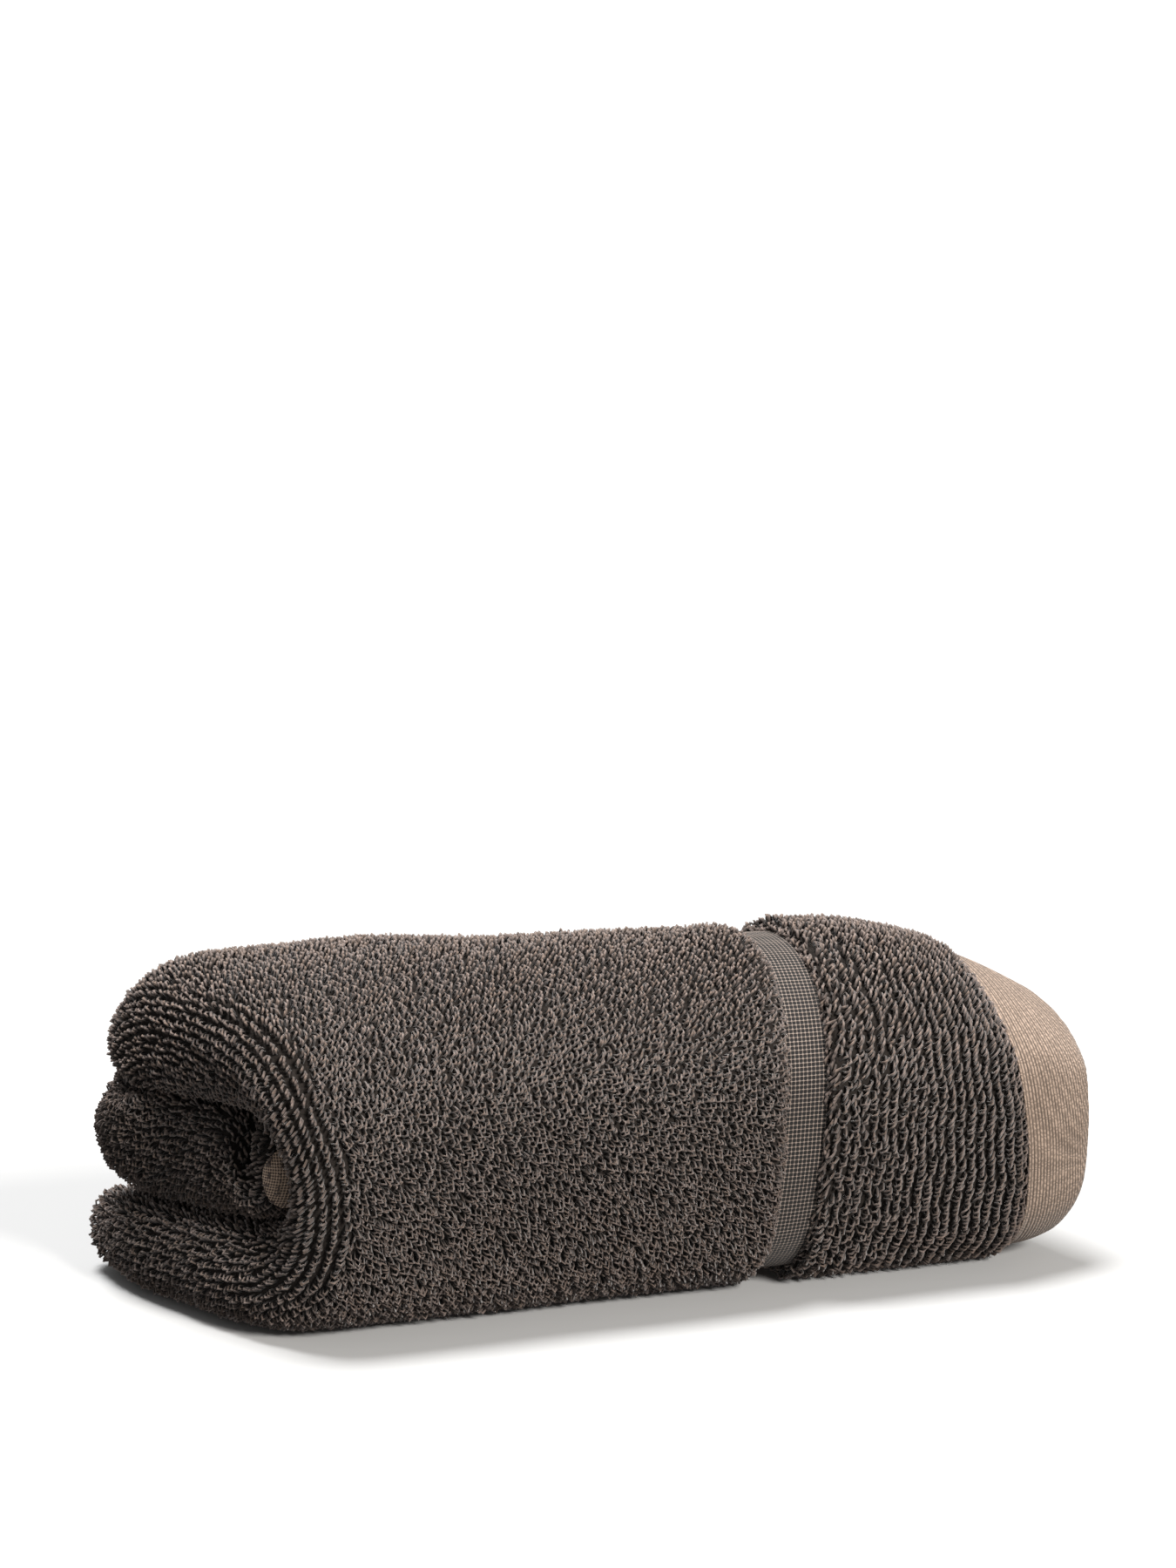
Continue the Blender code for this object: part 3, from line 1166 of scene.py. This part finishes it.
    def tubes(self, path: Array, beside: Array, yarn: Array | float) -> Array:
        """The points of the yarn's skin, ring by ring.

        Args:
            path: places along each yarn.
            beside: the direction across each loop.
            yarn: the yarn's radius.

        Returns:
            The points.
        """
        ahead = unit(np.gradient(path, axis=1))
        first = unit(beside[:, None] - ahead * (beside[:, None] * ahead).sum(axis=-1, keepdims=True))
        second = np.cross(ahead, first)
        angle = math.tau * (np.arange(self.sides) + 0.5) / self.sides
        radius = (np.reshape(yarn, (-1, 1)) * np.array(self.thickness))[:, :, None, None]
        ring = first[:, :, None] * np.cos(angle)[:, None] + second[:, :, None] * np.sin(angle)[:, None]
        points = path[:, :, None] + ring * radius
        points[..., 2] = np.maximum(points[..., 2], self.least_height)
        return points.reshape(-1, 3)

    def wrapped(self, rise: Array, tone: Array) -> tuple[Array, Array]:
        """The faces of the yarn's skin and their map: shade across, height up the loop along.

        Args:
            rise: each place's height as a share of its loop's.
            tone: each loop's own shade.

        Returns:
            The faces, and a pair for each corner of each face.
        """
        count, rings = rise.shape
        loop, step, side = np.meshgrid(
            np.arange(count), np.arange(rings - 1), np.arange(self.sides), indexing="ij"
        )
        after = (side + 1) % self.sides
        base = (loop * rings + step) * self.sides
        corners = [base + side, base + after, base + self.sides + after, base + self.sides + side]
        column = np.clip(np.floor(tone * YARN_SHADES), 0, YARN_SHADES - 1)[loop]
        near = (column + side / self.sides) / YARN_SHADES
        far = (column + (side + 1) / self.sides) / YARN_SHADES
        low, high = rise[loop, step], rise[loop, step + 1]
        maps = np.stack([near, low, far, low, far, high, near, high], axis=-1)
        return np.stack(corners, axis=-1).reshape(-1, 4), maps.reshape(-1, 4, 2)


def closing(height: Array, least_at: float = 0.45) -> Array:
    """How far the pile closes over the band: at the roll's top and foot most, and not at all between them."""
    return np.clip(2 * (height / WoundPad.height - least_at), -1, 1) ** 2


def at_columns(grid: Array, index: Array) -> Array:
    """Reads each row of a grid at a place between its columns.

    Args:
        grid: rows of places.
        index: a place in each row, counted in columns.

    Returns:
        One place a row.
    """
    low = np.clip(np.floor(index).astype(int), 0, grid.shape[1] - 2)
    share = (index - low)[:, None]
    rows = np.arange(len(grid))
    return grid[rows, low] * (1 - share) + grid[rows, low + 1] * share


def at_rows(rows: Array, index: Array) -> Array:
    """Reads a list of places between its rows.

    Args:
        rows: the list.
        index: where to read, counted in rows.

    Returns:
        A place for each number of the index.
    """
    low = np.clip(np.floor(index).astype(int), 0, len(rows) - 2)
    share = (index - low)[:, None]
    return rows[low] * (1 - share) + rows[low + 1] * share


@dataclass(frozen=True)
class MainPile:
    """The plain pile: over the front, round the left fold, between the turns and up to the right end's hem.

    The rows run round the roll. Those at the fold's rim are stretched, so that they part like ropes.
    """

    pile: Pile
    row_pitch: float = 0.0020
    open_pitch: float = 0.0034
    open_rows: int = 6
    open_past_rim: float = 0.0030
    end_pitch: float = 0.0026
    end_rows: int = 20
    inner_pitch: float = 0.0027
    first_row: float = 0.0030
    first_closing: float = 0.0008
    waver: float = 0.0005
    waver_length: float = 0.024
    waver_turn: float = 0.35
    waver_rows: int = 6
    open_rope: tuple[float, float] = (0.25, 1.00)  # how far an open row is a rope, shut and fully open
    end_rope: float = 0.15
    open_set: float = 0.1  # how far the first open row stands off the last plain one, in pitches
    end_set: float = 0.2
    tone: float = 0.42
    tone_spread: float = 0.22
    parts: int = 4
    high: float = 0.078  # over this height all loops are of the upper kind
    low: float = 0.040  # and under this one all are of the lower kind
    upper: LoopStyle = LoopStyle(
        pitch=0.00146, half=0.00106, height=0.0020, yarn=0.00033, slant=57.0, slant_spread=12.0,
        lean=-0.0005, lean_spread=0.00035, droop=0.0001, droop_spread=0.00030, stray=0.00030,
    )
    lower: LoopStyle = LoopStyle(
        pitch=0.00146, half=0.00086, height=0.0024, yarn=0.00033, slant=60.0, slant_spread=26.0,
        lean=-0.0011, lean_spread=0.00055, droop=0.0004, droop_spread=0.00045, stray=0.00030,
    )
    rope: LoopStyle = LoopStyle(
        pitch=0.00146, half=0.00102, height=0.0027, yarn=0.00037, slant=42.0, slant_spread=11.0,
        lean=0.0001, lean_spread=0.00025, droop=0.0003, droop_spread=0.00025, stray=0.00018,
    )
    inner: LoopStyle = LoopStyle(
        pitch=0.00170, half=0.00112, height=0.0024, yarn=0.00040, slant=58.0, slant_spread=20.0,
        lean=-0.0004, lean_spread=0.00045, droop=0.0002, droop_spread=0.00040, stray=0.00028,
    )
    stray_across: float = 0.00040
    rope_stray_across: float = 0.00018
    open_from: float = 0.012  # how far to the front of the middle the rows start to part
    open_low: float = 0.008  # and how high over the ground
    open_fade: float = 0.020

    def rows(self, columns: Array) -> list[tuple[Array, Array]]:
        """The rows of the pile.

        Args:
            columns: the surface's columns from the band round the left fold.

        Returns:
            Each row's distance from the band at each section, and how far it is a rope there.
        """
        surface = self.pile.surface
        places = surface.places[:, columns]
        reach = reach_across(places)
        rim = int(np.argmin(np.abs(columns - np.flatnonzero(surface.zones == Zone.FOLD.value).mean())))
        openness = self.openness(places[:, rim])
        pitch = self.end_pitch + (self.open_pitch - self.end_pitch) * openness
        plain = reach[:, rim] + self.open_past_rim - pitch * self.open_rows
        start = self.first_row - self.first_closing * closing(places[:, 0, 2])
        count = int(round(float(np.median(plain - start)) / self.row_pitch))
        winding = run_along(places[:, 0])
        rows = []
        for n in range(count):
            wave = np.sin(math.tau * winding / self.waver_length + self.waver_turn * n)
            wave = wave * min(n / self.waver_rows, 1.0)
            rows.append((start + (plain - start) * n / count + self.waver * wave, np.zeros(len(places))))
        shut, wide = self.open_rope
        for n in range(self.open_rows):
            rows.append((plain + pitch * (n + self.open_set), shut + (wide - shut) * openness))
        reached = plain + pitch * self.open_rows
        for n in range(self.end_rows):
            rows.append((reached + self.end_pitch * (n + self.end_set), np.full(len(places), self.end_rope)))
        return rows

    def inner_rows(self, columns: Array, last: Array) -> list[Array]:
        """The rows between the turns, from the left end's last row to the hem's edge at the right end.

        Args:
            columns: the surface's columns, as in `rows`.
            last: the last row's distance at each section.

        Returns:
            Each row's distance at each section.
        """
        rest = np.maximum(reach_across(self.pile.surface.places[:, columns])[:, -1] - last, 0.0)
        count = int(round(float(np.median(rest)) / self.inner_pitch))
        return [last + rest * (n + 0.5) / count for n in range(count)]

    def openness(self, rim: Array) -> Array:
        """How far the rows part at each section: fully at the front's rim only.

        Args:
            rim: the place of the left fold's rim at each section.

        Returns:
            A share for each section.
        """
        front = np.clip((-rim[:, 1] - self.open_from) / self.open_fade, 0, 1)
        turn = np.clip((rim[:, 2] - self.open_low) / self.open_fade, 0, 1)
        return front * turn

    def build(self, finish: bpy.types.Material) -> int:
        """Makes the loops.

        Args:
            finish: the yarn's material.

        Returns:
            How many loops there are.
        """
        columns = self.pile.surface.across_from(Zone.BAND, True)
        within_band = columns[0] + np.array([2, 1])
        under_hem = np.flatnonzero(self.pile.surface.zones == Zone.UNDER_HEM.value)[::-1]
        columns = np.concatenate([within_band, columns, under_hem])
        rows = self.rows(columns)
        within = self.inner_rows(columns, rows[-1][0])
        stray = np.full(len(self.pile.surface.places), self.stray_across)
        inner = joined([self.pile.row(columns, distance, self.inner, stray) for distance in within])
        inner = inner.kept(self.pile.seen(inner))
        tone = self.pile.tones(self.tone, self.tone_spread, len(inner))
        self.pile.coarse().build("pile_inner", inner, self.inner, finish, tone)
        roots, ropes = [], []
        for distance, rope in rows:
            stray = self.stray_across + (self.rope_stray_across - self.stray_across) * rope
            roots.append(self.pile.row(columns, distance, self.upper, stray))
            ropes.append(np.interp(roots[-1].station, np.arange(len(rope)), rope))
        standing, rope = joined(roots), np.concatenate(ropes)
        seen = self.pile.seen(standing)
        standing, rope = standing.kept(seen), rope[seen]
        order = np.argsort(standing.station, kind="stable")
        for part, which in enumerate(np.array_split(order, self.parts), start=1):
            some = standing.kept(which)
            down = np.clip((self.high - some.places[:, 2]) / (self.high - self.low), 0, 1)
            style = self.upper.toward(self.lower, down).toward(self.rope, rope[which])
            tone = self.pile.tones(self.tone, self.tone_spread, len(some))
            self.pile.build(f"pile_{part}", some, style, finish, tone)
        return len(standing) + len(inner)


@dataclass(frozen=True)
class RibbedBorder:
    """The border between the band and the hem: rows of long slanting loops, each like a twisted rope."""

    pile: Pile
    ribs: int = 21
    waver: float = 0.00045
    waver_length: float = 0.021
    waver_turn: float = 0.3
    lump: float = 0.0014  # how far the first ribs bulge over the band, lump by lump
    lump_length: float = 0.0064
    loose_ribs: int = 13
    first_closing: float = 0.0034
    closing_ribs: int = 6
    closing_low: float = 0.3  # how far the ribs close in the lower half of the roll, against the upper half
    tone: float = 0.48
    tone_spread: float = 0.20
    style: LoopStyle = LoopStyle(
        pitch=0.00148, half=0.00148, height=0.0023, yarn=0.00039, slant=57.0, slant_spread=9.0,
        lean=0.0001, lean_spread=0.00025, droop=0.0, droop_spread=0.00025, stray=0.00018, height_spread=0.10,
    )
    loose: LoopStyle = LoopStyle(
        pitch=0.00148, half=0.00145, height=0.0023, yarn=0.00038, slant=60.0, slant_spread=16.0,
        lean=-0.0003, lean_spread=0.00050, droop=0.0002, droop_spread=0.00045, stray=0.00040,
        height_spread=0.16,
    )
    stray_across: float = 0.00014
    loose_stray_across: float = 0.00055

    def build(self, finish: bpy.types.Material) -> int:
        """Makes the ribs.

        Args:
            finish: the yarn's material.

        Returns:
            How many loops there are.
        """
        surface = self.pile.surface
        columns = surface.across_from(Zone.BAND, False)[1:]
        border = np.flatnonzero(surface.zones == Zone.BORDER.value)
        places = surface.places[:, border[1]: border[-1] + 2]
        width = reach_across(places)[:, -1]
        foot = np.linalg.norm(surface.places[:, border[1]] - surface.places[:, columns[0]], axis=-1)
        winding = run_along(places[:, 0])
        upper = places[:, 0, 2] > WoundPad.height / 2
        close = np.where(upper, 1.0, self.closing_low) * closing(places[:, 0, 2])
        roots, slack = [], []
        for rib in range(-1, self.ribs):
            loose = min(1.0 - rib / self.loose_ribs, 1.0) if rib < self.loose_ribs else 0.0
            distance = foot + width * (rib + 0.5) / self.ribs
            wave = np.sin(math.tau * winding / self.waver_length + self.waver_turn * rib)
            distance = distance + self.waver * wave
            distance = distance - self.first_closing * close * max(1 - (rib + 1) / self.closing_ribs, 0.0)
            if rib < 1:
                distance = distance - self.lump * np.abs(np.sin(math.pi * winding / self.lump_length))
            stray = self.stray_across + (self.loose_stray_across - self.stray_across) * loose
            roots.append(self.pile.row(columns, distance, self.style, np.full(len(winding), stray)))
            slack.append(np.full(len(roots[-1]), loose))
        standing, slack = joined(roots), np.concatenate(slack)
        seen = self.pile.seen(standing)
        standing, slack = standing.kept(seen), slack[seen]
        tone = self.pile.tones(self.tone, self.tone_spread, len(standing))
        self.pile.build("pile_border", standing, self.style.toward(self.loose, slack), finish, tone)
        return len(standing)


@dataclass(frozen=True)
class FlatStrip:
    """A flat woven strip of the cloth that runs round the roll, as a closed sheet."""

    pad: WoundPad
    name: str
    thickness: float
    pitch: float  # from thread to thread round the roll
    sections: int
    rows_on_map: int
    map_margin: float = 0.02

    def sheet(self, places: Array, weave: Array, finish: bpy.types.Material) -> bpy.types.Object:
        """Makes a closed sheet under a grid of places.

        Args:
            places: its outer face.
            weave: thread counts at each place, both ways.
            finish: its material.

        Returns:
            The piece.
        """
        normals = normals_of(places, False)
        back = places - normals * self.thickness
        both = np.concatenate([places, back[:, ::-1]], axis=1)
        both[..., 2] = np.maximum(both[..., 2], 0.0)
        down, across = both.shape[:2]
        faces = grid_faces(down, across, True)
        counts = np.concatenate([weave, weave[:, ::-1]], axis=1)
        maps = self.maps(counts.reshape(-1, 2)[faces], faces, down, across)
        return mesh_object(self.name, both.reshape(-1, 3), faces, maps, finish)

    def maps(self, weave: Array, faces: Array, down: int, across: int) -> dict[str, Array]:
        """The weave map and the bake's map, which lays the strip out in a few rows.

        Args:
            weave: thread counts at each corner.
            faces: point numbers of each face.
            down: sections of the strip.
            across: points in a section.

        Returns:
            The maps.
        """
        row, column = faces // across, faces % across
        column = np.where((column == 0) & (faces[:, [0]] % across == across - 1), across, column)
        run = (down - 1) / self.rows_on_map
        band = np.minimum(np.floor(row[:, [0]] / run), self.rows_on_map - 1)
        u = (row - band * run) / (run + 1)
        v = (band + self.map_margin + (1 - 2 * self.map_margin) * column / across) / self.rows_on_map
        return {WEAVE_MAP: weave, BAKE_MAP: np.stack([u, v], axis=-1)}

    def declare(self, piece: bpy.types.Object, width: float, places: Array) -> bpy.types.Object:
        """Args:
            piece: the strip.
            width: not used.
            places: not used.

        Returns:
            The piece.
        """
        return piece


@dataclass(frozen=True)
class Band(FlatStrip):
    """The narrow flat band: an open weave, lower than the pile on both sides."""

    name: str = "band"
    thickness: float = 0.0008
    pitch: float = 0.00126
    sections: int = 700
    rows_on_map: int = 5
    last: float = 0.80  # where it ends along the winding: out of sight between the turns
    relief: float = 0.00030
    tuck_left: float = 0.0010
    tuck_right: float = 0.0004
    cuts: int = 2

    def build(self, finish: WovenFinish) -> bpy.types.Object:
        """Makes the band.

        Args:
            finish: its finish.

        Returns:
            The piece.
        """
        sections = self.pad.sections(self.sections, last=self.last, core=False)
        width = self.pad.band_width - self.pad.band_ramp + self.tuck_left + self.tuck_right
        count = int(round(width / self.pitch)) * self.cuts + 1
        start = self.pad.band_at(sections) + self.pad.band_ramp - self.tuck_left
        along = start[:, None] + np.linspace(0, width, count)
        flat = self.pad.strip(sections, along, np.full_like(along, -self.pad.band_depth))
        run = run_along(flat[:, count // 2]) / self.pitch
        down, across = np.meshgrid(run, np.arange(count) / self.cuts, indexing="ij")
        hole = (1 - rounds(down)) * (1 - rounds(across))
        places = flat - normals_of(flat, False) * (self.relief * hole)[..., None]
        piece = self.sheet(places, np.stack([down, across], axis=-1), finish.material())
        return self.declare(piece, width, places)


@dataclass(frozen=True)
class Hem(FlatStrip):
    """The plain hem: fine columns beside a raised edge, turned over the right end of the roll."""

    name: str = "hem"
    thickness: float = 0.0009
    pitch: float = 0.0017
    sections: int = 260
    rows_on_map: int = 4
    column: float = 0.00115
    column_relief: float = 0.00026
    edge_width: float = 0.0009
    edge_relief: float = 0.00045
    lift: float = 0.0004
    cuts: int = 3
    end_points: int = 8

    def build(self, finish: WovenFinish) -> bpy.types.Object:
        """Makes the hem.

        Args:
            finish: its finish.

        Returns:
            The piece.
        """
        sections = self.pad.sections(self.sections)
        hem = sections[:, Column.HEM.value] - self.edge_width
        right = sections[:, Column.RIGHT.value]
        shoulder = right - self.pad.hem_turn
        columns = int(round(float((shoulder - hem).mean()) / self.column)) * self.cuts
        along = hem[:, None] + (shoulder - hem)[:, None] * np.linspace(0, 1, columns + 1)
        share = np.ones_like(along)
        back, turn_share = self.pad.end_turn(sections, self.end_points)
        along = np.concatenate([along, right[:, None] - back], axis=1)
        share = np.concatenate([share, turn_share], axis=1)
        raised = np.full_like(along, -self.pad.hem_step + self.lift)
        flat = self.pad.strip(sections, along, raised, share)
        reach = reach_across(flat)
        run = run_along(flat[:, columns // 2]) / self.pitch
        threads = reach / self.column
        edge = np.exp(-(((reach - self.edge_width) / (self.edge_width / 2)) ** 2))
        relief = self.column_relief * rounds(threads) + self.edge_relief * edge
        places = flat + normals_of(flat, False) * relief[..., None]
        weave = np.stack([np.broadcast_to(run[:, None], threads.shape), threads], axis=-1)
        piece = self.sheet(places, weave, finish.material())
        return self.declare(piece, float(reach[:, -1].mean()), places)


@dataclass(frozen=True)
class InnerHem(FlatStrip):
    """The leaf of plain hem that shows inside the left end, between the core and the front's fold."""

    name: str = "inner_hem"
    thickness: float = 0.0007
    pitch: float = 0.0009
    sections: int = 60
    rows_on_map: int = 1
    below: float = 0.003  # how far the leaf starts before the core's low station, as a share of the winding
    above: float = 0.005
    widest: float = math.radians(66)
    pointed: float = 0.80
    blunt: float = 0.02  # how far its points are cut off, as a share of its length
    lift: float = 0.0016
    across: int = 12
    relief: float = 0.00012
    fold_radius: float = 0.010

    def build(self, finish: WovenFinish) -> bpy.types.Object:
        """Makes the leaf.

        Args:
            finish: its finish.

        Returns:
            The piece.
        """
        first = self.pad.share_of("core, low") - self.below
        last = self.pad.share_of("core, high") + self.above
        sections = self.pad.sections(self.sections, first, last, tail=False, core=False)
        way = np.linspace(self.blunt, 1 - self.blunt, self.sections)[:, None]
        open_turn = self.widest * np.sin(math.pi * way) ** self.pointed * (1 - np.linspace(0, 1, self.across))
        turn = math.pi / 2 - open_turn
        left = sections[:, Column.LEFT.value, None]
        rounding = sections[:, Column.ROUNDING.value, None]
        along = left + rounding * (1 - np.cos(turn) ** self.pad.fold_fullness)
        share = 0.5 + 0.5 * np.sin(turn) ** self.pad.fold_fullness
        flat = self.pad.strip(sections, along, np.full_like(along, self.lift), share)
        run = run_along(flat[:, -1]) / self.pitch
        threads = open_turn * self.fold_radius / self.pitch
        places = flat + normals_of(flat, False) * (self.relief * rounds(threads))[..., None]
        weave = np.stack([np.broadcast_to(run[:, None], threads.shape), threads], axis=-1)
        piece = self.sheet(places, weave, finish.material())
        return self.declare(piece, float(reach_across(flat)[:, -1].max()), places)


# The strips in the order in which they are made, each with its finish
FLAT_WEAVES = {
    Band: WovenFinish(
        "band weave", gap=(0.003, 0.0023, 0.0019), thread=(0.140, 0.108, 0.090), crown=(0.310, 0.248, 0.210),
        open_weave=2.6, depth=0.0002,
    ),
    Hem: WovenFinish(
        "hem weave", gap=(0.034, 0.0235, 0.0168), thread=(0.145, 0.102, 0.075), crown=(0.440, 0.332, 0.260),
        open_weave=0.0, depth=0.0003,
    ),
    # painted light: the leaf is the hem's cloth, painted much lighter than the hem's own colours as if lit,
    # though it lies in shade
    InnerHem: WovenFinish(
        "inner hem weave painted lighter", gap=(0.050, 0.0335, 0.0235), thread=(0.36, 0.25, 0.178), crown=(0.70, 0.52, 0.395),
        open_weave=0.5, depth=0.0003,
    ),
}


# The studio


@dataclass(frozen=True)
class Lamp:
    """A wide soft light, far off, so that the floor is evenly bright."""

    name: str
    side: tuple[float, float, float]  # the way towards the light
    strength: float
    width: float  # how wide it looks, in degrees
    colour: Colour = (1.0, 1.0, 1.0)

    def build(self) -> bpy.types.Object:
        """Makes the light.

        Returns:
            The light.
        """
        data = bpy.data.lights.new(self.name, "SUN")
        data.energy = self.strength
        data.angle = math.radians(self.width)
        data.color = self.colour
        lamp = placed(self.name, data)
        lamp.location = self.side
        lamp.rotation_euler = (-Vector(self.side)).to_track_quat("-Z", "Y").to_euler()
        return lamp


@dataclass(frozen=True)
class Studio:
    """The pale floor, the soft light and the camera at the photograph's angle."""

    azimuth: float = -21.6
    elevation: float = 14.0
    distance: float = 1.6
    scale: float = 3955.0  # pixels a metre at the middle of the roll
    middle_across: float = 677.3  # where the roll's middle lies in the frame
    middle_down: float = 1259.4
    frame_width: float = 1350.0
    frame_height: float = 1800.0
    sensor: float = 36.0
    middle_height: float = 0.052
    sees_to: float = 100.0
    floor_size: float = 30.0
    sky: float = 0.42
    lamps: tuple[Lamp, ...] = (
        Lamp("key light", (0.26, -1.00, 0.58), 6.5, 16.0, (1.0, 0.965, 0.92)),
        Lamp("top light", (-0.14, 0.11, 1.00), 6.9, 22.0),
    )

    def build(self) -> None:
        """Makes the floor, the sky, the lights and the camera."""
        self.build_floor()
        self.build_sky()
        for lamp in self.lamps:
            lamp.build()
        self.build_camera()
        bpy.context.scene.view_settings.view_transform = "Standard"

    def build_floor(self) -> None:
        """Makes the floor that the towel rests on. It throws no light back up at the towel."""
        half = self.floor_size / 2
        corners = [(-half, -half, 0.0), (half, -half, 0.0), (half, half, 0.0), (-half, half, 0.0)]
        mesh = bpy.data.meshes.new("floor")
        mesh.from_pydata(corners, [], [(0, 1, 2, 3)])
        mesh.materials.append(FloorFinish("pale floor").material())
        floor = placed("floor", mesh)
        floor.visible_diffuse = False

    def build_sky(self) -> None:
        """Makes the even light from all round."""
        world = bpy.data.worlds.new("studio")
        world.use_nodes = True
        light = world.node_tree.nodes["Background"]
        light.inputs["Color"].default_value = (1.0, 1.0, 1.0, 1.0)
        light.inputs["Strength"].default_value = self.sky
        bpy.context.scene.world = world

    def build_camera(self) -> None:
        """Makes the camera. It looks at the point that lies in the middle of the frame."""
        a, e = math.radians(self.azimuth), math.radians(self.elevation)
        back = Vector((math.sin(a) * math.cos(e), -math.cos(a) * math.cos(e), math.sin(e)))
        right = Vector((math.cos(a), math.sin(a), 0.0))
        up = back.cross(right)
        centre = Vector((0.0, 0.0, self.middle_height))
        aim = centre + up * ((self.middle_down - self.frame_height / 2) / self.scale)
        aim = aim + right * ((self.frame_width / 2 - self.middle_across) / self.scale)
        data = bpy.data.cameras.new("camera")
        data.sensor_fit = "VERTICAL"
        data.sensor_height = self.sensor
        data.sensor_width = self.sensor
        data.lens = self.scale * self.distance * self.sensor / self.frame_height
        data.clip_end = self.sees_to
        camera = placed("camera", data)
        camera.location = centre + back * self.distance
        camera.rotation_euler = (aim - camera.location).to_track_quat("-Z", "Y").to_euler()
        bpy.context.scene.camera = camera


def main() -> None:
    """Builds the towel's pieces in order, and the studio."""
    logging.basicConfig(level=logging.INFO, format="%(name)s: %(message)s")
    rng = np.random.default_rng(SEED)
    pad = WoundPad()
    weave = GroundWeave(pad)
    surface = pad.surface(weave.sections)
    ground = weave.build(surface, GroundFinish("ground weave"))
    log.info("ground weave: %d faces", len(ground.data.polygons))
    pile = Pile(surface, ground, weave.under_pile, rng)
    yarn = YarnFinish("pile yarn").material()
    log.info("main pile: %d loops", MainPile(pile).build(yarn))
    log.info("ribbed border: %d loops", RibbedBorder(pile).build(yarn))
    for strip, finish in FLAT_WEAVES.items():
        piece = strip(pad).build(finish)
        log.info("%s: %d faces", piece.name, len(piece.data.polygons))
    Studio().build()


if __name__ == "__main__":
    main()
